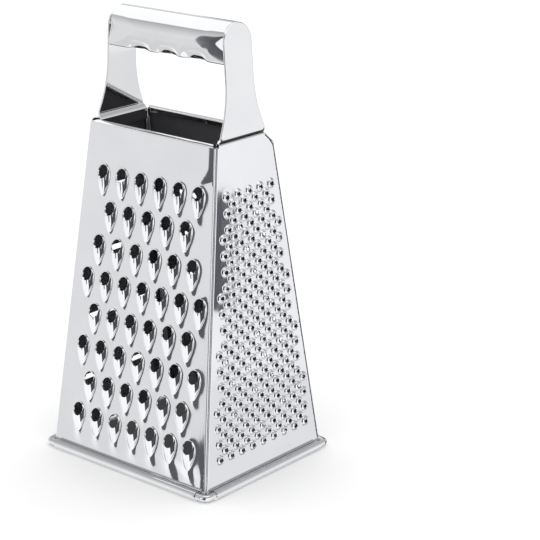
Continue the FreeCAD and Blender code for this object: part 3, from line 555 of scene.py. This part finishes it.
    # ---- folded top edge and its leg
    idx = [at[i] for i in range(n_loop) if kind[i] == "T"]
    prev = idx
    xs = vco[idx, 0]
    r = HEM_FOLD
    slope = math.atan2(crown, 2 * HEM_R - 2 * r)
    prof = [(length - crown - r, 0.0, 0.0, 1.0)]
    for a in np.linspace(math.pi / 2, slope + 0.05, 9)[1:]:
        prof.append((length - crown - r + r * math.cos(a), -r + r * math.sin(a), math.cos(a), math.sin(a)))
    prof.append((length - r + r * math.cos(slope), r - 2 * HEM_R + r * math.sin(slope), math.cos(slope - 0.05), math.sin(slope - 0.05)))
    for a in np.radians(np.linspace(-5, -90, 9)):
        prof.append((length - r + r * math.cos(a), r - 2 * HEM_R + r * math.sin(a), math.cos(a), math.sin(a)))
    prof.append((length - HEM_DROP, -2 * HEM_R, 0.0, -1.0))
    t = (xs + hem_l) / (hem_l + hem_r)
    for y, z, ny, nz in prof:
        end_l, end_r = hem_l + (z if cut_side >= 0 else 0.0), hem_r + (z if cut_side <= 0 else 0.0)
        row = -end_l + t * (end_l + end_r)
        cur = skin.add(np.stack([row, np.full_like(xs, y), np.full_like(xs, z)], axis=1), np.tile((0, ny, nz), (len(xs), 1)))
        skin.strip(prev, cur)
        prev = cur

    # ---- turned-in sides
    h = math.sqrt(0.5)
    for tag, s in (("R", 1), ("L", -1)):
        idx = [at[i] for i in range(n_loop) if kind[i] == tag]
        idx.sort(key=lambda i: vco[i, 1])
        prev = idx
        p0 = np.array([skin.p[i] for i in idx])
        fall, zone = roll(p0[:, 0], p0[:, 1])
        lean = np.arctan(2 * fall * zone / ROLL_ZONE ** 2 + (soft if s > 0 else 0.0))
        n0 = np.stack([s * np.sin(lean), np.zeros(len(p0)), np.cos(lean)], axis=1)
        for i, v in zip(idx, n0):
            skin.n[i] = v
        cen = p0 - NOSE_R * n0
        for f in np.linspace(0, 1, 12)[1:]:
            a = (math.pi / 2 - lean) * (1 - f) - math.pi / 4 * f
            nn = np.stack([s * np.cos(a), np.zeros(len(p0)), np.sin(a)], axis=1)
            cur = skin.add(cen + NOSE_R * nn, nn)
            skin.strip(prev, cur, group=1)
            prev = cur
        q = cen + NOSE_R * np.array((s * h, 0, -h)) + (FLANGE - 0.4) * np.array((-s * h, 0, -h))
        cur = skin.add(q, np.tile((s * h, 0, -h), (len(p0), 1)))
        skin.strip(prev, cur, group=1)
    return skin


# ------------------------------------------------------------------ materials
def steel(name, base, rough_lo, rough_hi, grain, bump, stretch, metallic=1.0, ior=2.5):
    """Polished stainless: faint cloudiness and hairline marks in the gloss."""
    m = bpy.data.materials.new(name)
    m.use_nodes = True
    nt = m.node_tree
    b = nt.nodes["Principled BSDF"]
    b.inputs["Metallic"].default_value = metallic
    b.inputs["IOR"].default_value = ior
    tc = nt.nodes.new("ShaderNodeTexCoord")
    mp = nt.nodes.new("ShaderNodeMapping")
    mp.inputs["Scale"].default_value = stretch
    nt.links.new(tc.outputs["Object"], mp.inputs["Vector"])
    fine = nt.nodes.new("ShaderNodeTexNoise")
    fine.inputs["Scale"].default_value = grain
    fine.inputs["Detail"].default_value = 6.0
    nt.links.new(mp.outputs["Vector"], fine.inputs["Vector"])
    cloud = nt.nodes.new("ShaderNodeTexNoise")
    cloud.inputs["Scale"].default_value = 38.0
    cloud.inputs["Detail"].default_value = 3.0
    nt.links.new(tc.outputs["Object"], cloud.inputs["Vector"])
    mix = nt.nodes.new("ShaderNodeMath")
    mix.operation = "MULTIPLY"
    nt.links.new(fine.outputs["Fac"], mix.inputs[0])
    nt.links.new(cloud.outputs["Fac"], mix.inputs[1])
    rr = nt.nodes.new("ShaderNodeMapRange")
    rr.inputs["From Min"].default_value = 0.12
    rr.inputs["From Max"].default_value = 0.42
    rr.inputs["To Min"].default_value = rough_lo
    rr.inputs["To Max"].default_value = rough_hi
    nt.links.new(mix.outputs[0], rr.inputs["Value"])
    nt.links.new(rr.outputs[0], b.inputs["Roughness"])
    ramp = nt.nodes.new("ShaderNodeValToRGB")
    ramp.color_ramp.elements[0].position = 0.3
    ramp.color_ramp.elements[0].color = tuple(c * 0.95 for c in base) + (1.0,)
    ramp.color_ramp.elements[1].position = 0.7
    ramp.color_ramp.elements[1].color = tuple(base) + (1.0,)
    nt.links.new(cloud.outputs["Fac"], ramp.inputs["Fac"])
    nt.links.new(ramp.outputs["Color"], b.inputs["Base Color"])
    bp = nt.nodes.new("ShaderNodeBump")
    bp.inputs["Strength"].default_value = bump
    bp.inputs["Distance"].default_value = 0.00002
    nt.links.new(fine.outputs["Fac"], bp.inputs["Height"])
    nt.links.new(bp.outputs["Normal"], b.inputs["Normal"])
    return m


MAT_PANEL = steel("polished_sheet", (0.72, 0.73, 0.75), 0.035, 0.075, 900.0, 0.10, (1.0, 1.0, 0.06))
MAT_HANDLE = steel("polished_handle", (0.71, 0.715, 0.73), 0.05, 0.10, 900.0, 0.12, (0.06, 1.0, 1.0))
# partly painted shade: the finger plate's brushed gloss is real, its base colour is darkened to stand for the shade
# under the grip
MAT_UNDERSIDE_SHADE = steel("brushed_underside", (0.36, 0.36, 0.375), 0.16, 0.28, 1400.0, 0.45, (1.0, 0.05, 1.0))
# painted shade: the inner faces of the sheets and the handle tongue get a near-black base colour so the inside of the
# body and the gap under the plate's foot read dark; only the rougher gloss is the metal's own
MAT_INSIDE_SHADE = steel("unpolished_inside", (0.135, 0.131, 0.14), 0.3, 0.45, 700.0, 0.25, (1.0, 1.0, 0.1), 0.35, 1.5)
MAT_WIRE = steel("drawn_wire", (0.74, 0.745, 0.76), 0.07, 0.14, 700.0, 0.15, (0.15, 0.15, 1.0))
MAT_SEAM = steel("folded_strip", (0.66, 0.665, 0.68), 0.12, 0.2, 800.0, 0.2, (1.0, 1.0, 0.08))


def register(obj, node):
    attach(obj, "root")
    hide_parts(node)
    return obj


# ------------------------------------------------------------------ panels
def lower_corner(x, y, edge):
    """Soft buckle of the front sheet above its lower right corner."""
    def ease(t):
        t = np.clip(t, 0, 1)
        return t * t * (3 - 2 * t)
    d = np.clip((x - (edge - 15.0)) / 15.0, 0, None)
    bump = np.exp(-((x - edge + 2.2) / 4.2) ** 2 - ((y - 9.0) / 7.5) ** 2)
    z = ease(1 - y / 42.0) * (-0.30 * d * d) + 0.16 * bump * np.clip(y / 3.0, 0, 1)
    for at, deep, wide in ((15.57, 0.07, 6.5), (29.14, 0.21, 8.5), (42.71, 0.15, 6.5)):
        u = (x - at - 0.35 * (10.0 - y) + 0.5) / wide
        z = z - deep * (ease(u) - ease((u - 1) / 1.6)) * ease((15.0 - y) / 8.0)
    return z


coarse = Scoop(1.0)
sites = []
for i, n in enumerate((6, 5, 6, 7, 6, 7, 6, 7)):
    s = 26.2 + 18.85 * i
    for k in range(n):
        sites.append(((k - (n - 1) / 2) * 13.57 + 2.0, LEN_F - s, coarse))
low_f, low_s = half_w(Z_F), half_d(Z_S)
skin = panel_skin(low_f, TOP_W, LEN_F, sites, 11, roll_top=0.16, extra=lower_corner, crown=0.8, flare=5.0)
front = make_object("front_panel_sheet", *skin.close(T), PLACES["front"], (MAT_PANEL, MAT_INSIDE_SHADE))
register(front, "front_panel")

rng = np.random.default_rng(5)
sites = []
for j in range(33):
    s = 27.2 + 4.25 * j
    for i in range(-9, 10):
        u = i * 4.25
        if (i + j) % 2 == 0 and abs(u) <= 14.3 + 0.1449 * s:
            sites.append((u, LEN_S - s, Burr(rng)))
skin = panel_skin(low_s, TOP_D, LEN_S, sites, 23, cut_side=1, soft=0.25)
right = make_object("right_panel_sheet", *skin.close(T), PLACES["right"], (MAT_PANEL, MAT_INSIDE_SHADE))
register(right, "right_panel")

medium = Scoop(0.57, 15, 17, (0, 0.04, 0.12, 0.24, 0.4, 0.56, 0.72, 0.87, 1))
sites = []
i = 0
while 24.0 + 12.5 * i <= LEN_F - 18.0:
    s = 24.0 + 12.5 * i
    lim = TOP_W + (low_f - TOP_W) * s / LEN_F - 8.0
    for k in range(-8, 9):
        x = (k + (0.5 if i % 2 else 0.0)) * 9.0
        if abs(x) <= lim:
            sites.append((x, LEN_F - s, medium))
    i += 1
skin = panel_skin(low_f, TOP_W, LEN_F, sites, 31, cut_side=-1)
back = make_object("back_panel_sheet", *skin.close(T), PLACES["back"], (MAT_PANEL, MAT_INSIDE_SHADE))
register(back, "back_panel")

sites = []
for i in range(4):
    s = 44.0 + 36.0 * i
    lim = TOP_D + (low_s - TOP_D) * s / LEN_S - 13.0
    sites.append((0.0, LEN_S - s, Slot(lim)))
skin = panel_skin(low_s, TOP_D, LEN_S, sites, 47)
left = make_object("left_panel_sheet", *skin.close(T), PLACES["left"], (MAT_PANEL, MAT_INSIDE_SHADE))
register(left, "left_panel")

# ------------------------------------------------------------------ base wire
path, side_dir = [], []
for cx, cy, a0 in ((1, -1, -90), (1, 1, 0), (-1, 1, 90), (-1, -1, 180)):
    for a in np.radians(np.linspace(a0, a0 + 90, 13)):
        path.append((cx * (ROD_X - ROD_BEND) + ROD_BEND * math.cos(a), cy * (ROD_Y - ROD_BEND) + ROD_BEND * math.sin(a)))
        side_dir.append((math.cos(a), math.sin(a)))
verts, normals, faces = [], [], []
RING = 28
for (px, py), (dx, dy) in zip(path, side_dir):
    for k in range(RING):
        a = 2 * math.pi * k / RING
        nrm = (dx * math.cos(a), dy * math.cos(a), math.sin(a))
        verts.append((px + ROD_R * nrm[0], py + ROD_R * nrm[1], ROD_Z + ROD_R * nrm[2]))
        normals.append(nrm)
m = len(path)
loops = []
for i in range(m):
    for k in range(RING):
        f = (i * RING + k, ((i + 1) % m) * RING + k, ((i + 1) % m) * RING + (k + 1) % RING, i * RING + (k + 1) % RING)
        faces.append(f)
        loops.extend(normals[j] for j in f)
wire = make_object("base_wire_rod", verts, faces, loops, np.zeros(len(faces)), IDENT, (MAT_WIRE,))
register(wire, "base_wire")

# ------------------------------------------------------------------ handle end plates
FACE = -PLATE_INSET
PLATE_TOP = (HEIGHT - Z_S + PLATE_INSET * math.sin(TILT_S)) / math.cos(TILT_S)
FOOT = LEN_S + 1.0
FLARE, STRAIGHT = 63.6, 17.6


def plate_outline():
    cy = PLATE_TOP - GRIP_R
    y1 = cy - STRAIGHT
    a0 = math.asin((y1 - FOOT) / FLARE)
    fx = GRIP_R + FLARE
    right_side = []
    for a in np.linspace(a0, 0, 30):
        right_side.append((fx - FLARE * math.cos(a), y1 - FLARE * math.sin(a)))
    for y in np.linspace(y1, cy, 9)[1:]:
        right_side.append((GRIP_R, y))
    arc = [(GRIP_R * math.cos(a), cy + GRIP_R * math.sin(a)) for a in np.linspace(0, math.pi, 41)[1:-1]]
    # rounded foot corner, tangent to the foot and to the flare
    corner = np.array(right_side[0])
    r = 2.0
    phi = math.pi / 2 - a0
    reach = r / math.tan(phi / 2)
    a = corner + np.array((-reach, 0))
    centre = a + np.array((0, r))
    bend = [centre + r * np.array((math.sin(t), -math.cos(t))) for t in np.linspace(0, math.pi - phi, 13)]
    k = next(i for i, p in enumerate(right_side) if p[1] - bend[-1][1] > 0.8) - 1
    rs = [tuple(p) for p in bend] + right_side[k + 1:]
    ls = [(-x, y) for x, y in reversed(rs)]
    bottom = [(x, FOOT) for x in np.linspace(-a[0], a[0], 17)[1:-1]]
    return np.array(rs + arc + ls + bottom)


def fill(loop, points):
    """Triangles inside a closed outline; the first points are the outline's."""
    n = len(loop)
    allp = np.vstack([loop, points]) if len(points) else loop
    res = delaunay_2d_cdt([Vector(map(float, p)) for p in allp], [(i, (i + 1) % n) for i in range(n)], [], 0, 1e-6, True)
    vco = np.array([(v.x, v.y) for v in res[0]])
    back = [min(o) for o in res[3]]
    tris = [list(f) for f in res[2]]
    cen = np.array([vco[f].mean(axis=0) for f in tris])
    keep = in_polygon(cen, loop)
    return allp, [[back[i] for i in f] for f, k in zip(tris, keep) if k]


def oriented(p, n, faces):
    """Faces turned so that they agree with their points' normals, with loop normals."""
    out, nrm = [], []
    for f in faces:
        pts = p[list(f)]
        fn = sum(np.cross(pts[i] - pts[0], pts[i + 1] - pts[0]) for i in range(1, len(f) - 1))
        f = list(f)
        if np.dot(fn, n[f].sum(axis=0)) < 0:
            f.reverse()
        out.append(f)
        nrm.extend(n[i] for i in f)
    return p, out, np.array(nrm), np.zeros(len(out), int)


def plate_parts():
    out = plate_outline()
    tan = np.roll(out, -1, axis=0) - np.roll(out, 1, axis=0)
    n2 = unit(np.stack([tan[:, 1], -tan[:, 0]], axis=1))
    m = len(out)
    ro, ri = 0.6, 0.3
    rows = []
    for a in np.radians(np.linspace(0, 90, 9)):
        rows.append((ro * (1 - math.sin(a)), FACE - ro * (1 - math.cos(a)), math.sin(a), math.cos(a)))
    for a in np.radians(np.linspace(90, 180, 6)):
        rows.append((ri * (1 - math.sin(a)), FACE - PLATE_T + ri * (1 + math.cos(a)), math.sin(a), math.cos(a)))
    p, n, faces = [], [], []
    for inset, z, nr, nz in rows:
        p.append(np.column_stack([out - n2 * inset, np.full(m, z)]))
        n.append(np.column_stack([n2 * nr, np.full(m, nz)]))
    for r in range(len(rows) - 1):
        for i in range(m):
            j = (i + 1) % m
            faces.append((r * m + i, r * m + j, (r + 1) * m + j, (r + 1) * m + i))
    p, n = np.vstack(p), np.vstack(n)
    band_part = oriented(p, n, faces)
    # faces: the outer one a little crowned
    gx, gy = np.meshgrid(np.arange(-15.5, 15.6, 3.1), np.arange(FOOT + 2.5, PLATE_TOP - 2, 3.0))
    grid = np.stack([gx.ravel(), gy.ravel()], axis=1)
    inner = out - n2 * 2.2
    grid = grid[in_polygon(grid, inner)]
    parts = [band_part]
    for inset, z, s in ((ro, FACE, 1.0), (ri, FACE - PLATE_T, -1.0)):
        loop = out - n2 * inset
        pts, tris = fill(loop, grid)
        x = pts[:, 0]
        flat = np.zeros(len(pts))
        tilt = np.zeros(len(pts))
        dish = np.zeros(len(pts))
        if s < 0:
            f = np.clip((FOOT + 34.0 - pts[:, 1]) / 14.0, 0, 1)
            dish = -0.055 * f * f * (3 - 2 * f)
        if s > 0:
            y = pts[len(loop):, 1]
            room = np.where(y > PLATE_TOP - GRIP_R - STRAIGHT, GRIP_R, GRIP_R + FLARE - np.sqrt(np.maximum(FLARE ** 2 - np.minimum(y - (PLATE_TOP - GRIP_R - STRAIGHT), 0) ** 2, 0)))
            u = x[len(loop):] / room
            flat[len(loop):] = 0.10 * (1 - u * u)
            tilt[len(loop):] = 0.20 * u / room
        p = np.column_stack([pts, z + flat])
        n = unit(np.column_stack([tilt, dish, np.full(len(pts), s)]))
        parts.append(oriented(p, n, tris))

    # tongue: leaves the plate's foot, an easy step inwards, then down inside the panel
    tongue = Skin()
    z_top = FACE - 0.3
    z_leg = -(2 * HEM_R + GAP)
    prof = [(FOOT + 1.6, z_top), (FOOT + 1.0, z_top)]
    for t in np.linspace(0, 1, 17)[1:]:
        s = 3 * t * t - 2 * t ** 3
        prof.append((FOOT + 1.0 - 3.2 * t, z_top + (z_leg - z_top) * s))
    prof += [(LEN_S - 1.6, z_leg), (LEN_S - 3.6, z_leg), (LEN_S - 6.6, z_leg)]
    prof = np.array(prof)
    tg = np.gradient(prof, axis=0)
    pn = unit(np.stack([-tg[:, 1], tg[:, 0]], axis=1))
    pn[pn[:, 1] < 0] *= -1
    prev = None
    for (y, z), (ny, nz) in zip(prof, pn):
        half = 16.4 + 1.5 * min(1.0, max(0.0, (FOOT + 1.0 - y) / 5.0))
        xs = np.linspace(-half, half, 25)
        cur = tongue.add(np.stack([xs, np.full_like(xs, y), np.full_like(xs, z)], axis=1), np.tile((0, ny, nz), (len(xs), 1)))
        if prev:
            tongue.strip(prev, cur)
        prev = cur
    sheet = tongue.close(1.15)
    # painted shade: the tongue's outer face takes the dark inside material so the gap under the plate's foot reads dark
    sheet[3][:len(tongue.f)] = 1
    parts.append(sheet)
    return join_parts(parts)


for tag in ("right", "left"):
    obj = make_object("end_plate_%s_pressing" % tag, *plate_parts(), PLACES[tag], (MAT_HANDLE, MAT_INSIDE_SHADE))
    register(obj, "end_plate_" + tag)


# ------------------------------------------------------------------ grip
def grip_end(z, depth):
    c, s = math.cos(TILT_S), math.sin(TILT_S)
    return (half_w(Z_S) * c + Z_S * s - depth - z * s) / c


END = PLATE_INSET + PLATE_T + GAP
BEND_LO, BEND_HI = 1.5, 8.6


def groove(x):
    """0 on the ridges between the fingers, 1 in the middle of a finger groove."""
    d = (np.asarray(x, float) - GROOVE_X) / PITCH
    return np.where(np.abs(d) < 1.5, 0.5 * (1 + np.cos(2 * math.pi * d)), 0.0)


us = np.linspace(-1, 1, 121)
axis_z = HEIGHT - GRIP_R


def bend(x):
    return BEND_LO + (BEND_HI - BEND_LO) * groove(x)


def low_at(x):
    """Lower edge of the shell; a wide bend hangs a little lower."""
    return GRIP_LOW - 0.235 * (bend(x) - BEND_LO)


def drawn(x, z):
    """How far the shell's wall is pulled in next to the end plates, furthest at half height."""
    reach = 3.0 + 17.0 * np.clip(1 - (np.sqrt((z - 230.0) ** 2 + 0.64) - 0.8) / 9.0, 0, 1)
    s = np.clip(np.abs(x) - (grip_end(z, END) - reach), 0, None)
    return 0.042 * (np.sqrt(s * s + 1.0) - 1.0) + 0.0095 * np.clip(s - 11.0, 0, None) ** 2


def turned(x):
    """How far the shell's lower edge is turned under, less in the finger grooves."""
    return 78.0 - 36.0 * groove(x) ** 0.8


def grip_row(f, shrink):
    """A line along the grip on its turned-under edge: f = 1 at the shell's edge, 0 where the turn begins;
    above 1 it goes on below the edge."""
    x = us * grip_end(GRIP_LOW + 2.0, END)
    a = np.radians(turned(x) * min(f, 1.0) + (90.0 - turned(x)) * max(f - 1.0, 0.0))
    up = BEND_HI - (BEND_HI - shrink) * np.sin(a)
    wide = BEND_HI - (BEND_HI - shrink) * np.cos(a)
    s = np.clip((BEND_LO - up) / (BEND_LO - shrink), 0, 1)
    tight = BEND_LO - (BEND_LO - shrink) * np.sqrt(1 - s * s)
    z = low_at(x) + up
    y = -GRIP_R + tight + (wide - tight) * groove(x) + drawn(x, z) * np.cos(a)
    return np.stack([us * grip_end(z, END), y, z], axis=1)


def rows_skin(rows):
    """A skin through lines of equal length, normals from the neighbours."""
    g = np.array(rows)
    du = np.gradient(g, axis=1)
    dv = np.gradient(g, axis=0)
    nrm = unit(np.cross(du, dv))
    skin = Skin()
    prev = None
    for k in range(len(g)):
        cur = skin.add(g[k], nrm[k])
        if prev:
            skin.strip(prev, cur)
        prev = cur
    return skin, nrm


front_rows = [grip_row(f, 0.0) for f in np.linspace(1, 0, 29)]
for t in np.linspace(0, 1, 7)[1:-1]:
    x = us * grip_end(225.0, END)
    z0 = low_at(x) + BEND_HI
    z = z0 + (axis_z - z0) * t
    front_rows.append(np.stack([us * grip_end(z, END), -GRIP_R + drawn(x, z), z], axis=1))
for a in np.radians(np.linspace(180, 90, 28)):
    z = axis_z + GRIP_R * math.sin(a)
    x = us * grip_end(z, END)
    front_rows.append(np.stack([x, (GRIP_R - drawn(x, z)) * math.cos(a), np.full_like(us, z)], axis=1))
mirror = np.array((1.0, -1.0, 1.0))
rows = front_rows + [r * mirror for r in reversed(front_rows[:-1])]
skin, nrm = rows_skin(rows)
mid = len(front_rows) - 1
if nrm[mid, len(us) // 2, 2] < 0:
    skin.n = [-v for v in skin.n]
grip = make_object("grip_shell_pressing", *skin.close(0.6), IDENT, (MAT_HANDLE,))
register(grip, "grip_shell")

side = [grip_row(f, 0.65) for f in np.linspace(0.8, 2, 19)]
edge = side[-1]
mids = [edge * np.array((1.0, f, 1.0)) for f in (0.6, 0.2, -0.2, -0.6)]
rows = side + mids + [r * mirror for r in reversed(side)]
skin, nrm = rows_skin(rows)
if nrm[len(rows) // 2, len(us) // 2, 2] > 0:
    skin.n = [-v for v in skin.n]
under = make_object("grip_finger_plate", *skin.close(0.6), IDENT, (MAT_UNDERSIDE_SHADE,))
register(under, "grip_underside")

# ------------------------------------------------------------------ corner strips keep their shape
for n in frame["nodes"]:
    if str(n).startswith("corner_cleat"):
        o = frame["nodes"][n] if isinstance(frame["nodes"], dict) else bpy.data.objects[n]
        o.data.materials.clear()
        o.data.materials.append(MAT_SEAM)


# ------------------------------------------------------------------ floor, cards, light
def plain(name, color, rough):
    m = bpy.data.materials.new(name)
    m.use_nodes = True
    b = m.node_tree.nodes["Principled BSDF"]
    b.inputs["Base Color"].default_value = color + (1.0,)
    b.inputs["Roughness"].default_value = rough
    b.inputs["Specular IOR Level"].default_value = 0.1
    return m


def card(name, verts, material, camera=True):
    mesh = bpy.data.meshes.new(name)
    mesh.from_pydata(verts, [], [list(range(len(verts)))])
    mesh.materials.append(material)
    o = bpy.data.objects.new(name, mesh)
    bpy.context.scene.collection.objects.link(o)
    o.visible_camera = camera
    return o


FLOOR_MAT = plain("floor_pale", (0.93, 0.93, 0.93), 0.9)
floor = card("floor", [(-6, -6, 0), (6, -6, 0), (6, 6, 0), (-6, 6, 0)], FLOOR_MAT)
floor.visible_glossy = False


def glow(name, color):
    m = bpy.data.materials.new(name)
    m.use_nodes = True
    nt = m.node_tree
    nt.nodes.remove(nt.nodes["Principled BSDF"])
    e = nt.nodes.new("ShaderNodeEmission")
    e.inputs["Color"].default_value = color + (1.0,)
    e.inputs["Strength"].default_value = 1.0
    nt.links.new(e.outputs[0], nt.nodes["Material Output"].inputs["Surface"])
    return m


GREY = glow("flag_grey", (0.13, 0.135, 0.15))
DARK = glow("flag_dark", (0.09, 0.092, 0.10))


def polar(az, r, z=0.0):
    a = math.radians(az)
    return (r * math.sin(a), -r * math.cos(a), z)


def shade(name, verts, material, camera=False):
    """Card of the studio: seen only in the polished metal, and also by the camera when camera is set."""
    o = card(name, verts, material, camera)
    o.visible_shadow = False
    o.visible_diffuse = False


def upright(name, az0, az1, dist, z0, z1, material):
    """Upright card between two azimuths (0 is -Y, 90 is +X)."""
    n = max(2, int(abs(az1 - az0) / 12) + 2)
    azs = np.linspace(az0, az1, n)
    for k, (a, b) in enumerate(zip(azs[:-1], azs[1:])):
        shade("%s_%d" % (name, k), [polar(a, dist, z0), polar(b, dist, z0), polar(b, dist, z1), polar(a, dist, z1)], material)


WHITE = glow("card_white", (1.35, 1.35, 1.36))
PALE = glow("card_pale", (1.2, 1.2, 1.205))
DIM = glow("card_dim", (1.03, 1.03, 1.035))
LIGHT = glow("card_light", (0.92, 0.92, 0.925))
TOP_GLOW = glow("card_top", (1.4, 1.4, 1.4))
# painted shadow: near-black glow for the floor inside the body
UNDER = glow("card_under", (0.05, 0.05, 0.05))


def backdrop(name, az0, az1, el0, el1, material):
    """A far card of the studio between two azimuths and two heights in degrees."""
    upright(name, az0, az1, 20.0, 20.0 * math.tan(math.radians(el0)), 20.0 * math.tan(math.radians(el1)), material)


# left of the camera dark, in front white, round the camera dark, right of it white, behind the part pale and dark
backdrop("strip_card", -38.3, -29.0, -19.0, 15.0, GREY)
backdrop("front_card", -29.0, 10.0, -60.0, 20.0, WHITE)
backdrop("camera_card", 10.0, 44.0, -29.5, 42.0, DARK)
shade("low_card", [polar(-17.0, 19.0, -2.0), polar(-17.0, 19.0, -4.2), polar(-4.0, 19.0, -10.75), polar(10.0, 19.0, -10.75), polar(10.0, 19.0, -2.0)], DARK)
shade("under_grip_card", [(-0.095, -0.053, 0.184), (-0.012, -0.053, 0.184), (-0.012, -0.053, 0.212), (-0.095, -0.053, 0.212)], LIGHT)
backdrop("side_card", 44.0, 114.0, -60.0, 20.0, WHITE)
backdrop("back_card", 114.0, 152.0, -16.5, 2.0, PALE)
backdrop("low_back_card", 114.0, 152.0, -40.0, -16.5, DIM)
backdrop("room_card", 152.0, 222.0, -40.0, 25.0, GREY)


def fading(name, z0, z1, low, high):
    """Glow that grows from one height to another."""
    m = glow(name, (high, high, high))
    nt = m.node_tree
    tc = nt.nodes.new("ShaderNodeTexCoord")
    sep = nt.nodes.new("ShaderNodeSeparateXYZ")
    mr = nt.nodes.new("ShaderNodeMapRange")
    mr.inputs["From Min"].default_value = z0
    mr.inputs["From Max"].default_value = z1
    rp = nt.nodes.new("ShaderNodeValToRGB")
    rp.color_ramp.elements[0].color = (low, low, low * 1.03, 1.0)
    rp.color_ramp.elements[1].color = (high, high, high, 1.0)
    nt.links.new(tc.outputs["Object"], sep.inputs[0])
    nt.links.new(sep.outputs["Z"], mr.inputs["Value"])
    nt.links.new(mr.outputs[0], rp.inputs["Fac"])
    nt.links.new(rp.outputs["Color"], nt.nodes["Emission"].inputs["Color"])
    return m


# soft windows straight behind, in front and beside, brighter upwards
upright("back_window", 166.0, 198.0, 19.0, -5.5, 7.0, fading("window_back", -5.5, 4.1, 0.2, 1.0))
upright("front_window", -5.0, 5.0, 18.5, -4.7, 6.2, fading("window_front", -4.7, 6.2, 0.6, 1.1))
upright("side_window", 84.0, 96.0, 19.0, -7.7, 2.7, fading("window_side", -7.7, 2.7, 0.6, 1.1))
# low dark card on the right, a dark card seen by the camera on the floor inside the body as painted shadow there, small
# softbox over the grip
shade("right_card", [(0.306, 0.248, 0.0004), (0.605, 0.579, 0.0004), (0.72, 0.47, 0.0004), (0.425, 0.144, 0.0004)], GREY)
shade("under_card", [(-0.055, -0.044, 0.0004), (0.055, -0.044, 0.0004), (0.055, 0.044, 0.0004), (-0.055, 0.044, 0.0004)], UNDER, True)
shade("top_card", [(-0.25, -0.086, 0.33), (0.2, -0.086, 0.33), (0.2, 0.12, 0.33), (-0.25, 0.12, 0.33)], TOP_GLOW)

world = bpy.data.worlds.new("studio")
bpy.context.scene.world = world
world.use_nodes = True
wn = world.node_tree
bg = wn.nodes["Background"]
wc = wn.nodes.new("ShaderNodeTexCoord")
ws = wn.nodes.new("ShaderNodeSeparateXYZ")
wm = wn.nodes.new("ShaderNodeMapRange")
wm.inputs["From Min"].default_value = -1.0
wm.inputs["From Max"].default_value = 1.0
wr = wn.nodes.new("ShaderNodeValToRGB")
wn.links.new(wc.outputs["Generated"], ws.inputs[0])
wn.links.new(ws.outputs["Z"], wm.inputs["Value"])
wn.links.new(wm.outputs[0], wr.inputs["Fac"])
wn.links.new(wr.outputs["Color"], bg.inputs["Color"])
steps = ((0.0, 0.9), (0.2, 0.92), (0.28, 1.3), (0.352, 1.3), (0.388, 0.97), (0.45, 1.02), (0.5, 1.0), (0.63, 0.85), (0.8, 0.55), (1.0, 0.6))
while len(wr.color_ramp.elements) < len(steps):
    wr.color_ramp.elements.new(0.5)
for step, (pos, val) in zip(wr.color_ramp.elements, steps):
    step.position = pos
    step.color = (val, val, val, 1.0)


sun = bpy.data.lights.new("wide_ceiling", "SUN")
sun.energy = 1.85
sun.angle = math.radians(130)
ceiling = bpy.data.objects.new("wide_ceiling", sun)
ceiling.visible_glossy = False
bpy.context.scene.collection.objects.link(ceiling)

# ------------------------------------------------------------------ camera
cam_data = bpy.data.cameras.new("photo_camera")
cam_data.sensor_fit = "HORIZONTAL"
cam_data.sensor_width = 36.0
cam_data.lens = 124.22
cam_data.clip_start, cam_data.clip_end = 0.01, 50.0
cam = bpy.data.objects.new("photo_camera", cam_data)
bpy.context.scene.collection.objects.link(cam)
az, el, roll = math.radians(40.91), math.radians(18.44), math.radians(-0.33)
back_v = Vector((math.sin(az) * math.cos(el), -math.cos(az) * math.cos(el), math.sin(el)))
r0 = Vector((math.cos(az), math.sin(az), 0.0))
u0 = back_v.cross(r0)
r1 = r0 * math.cos(roll) + u0 * math.sin(roll)
u1 = u0 * math.cos(roll) - r0 * math.sin(roll)
rot = Matrix((r1, u1, back_v)).transposed().to_4x4()
cam.matrix_world = Matrix.Translation((0.65315, -0.68302, 0.41581)) @ rot
bpy.context.scene.camera = cam

scene = bpy.context.scene
scene.view_settings.view_transform = "Standard"
scene.view_settings.look = "None"
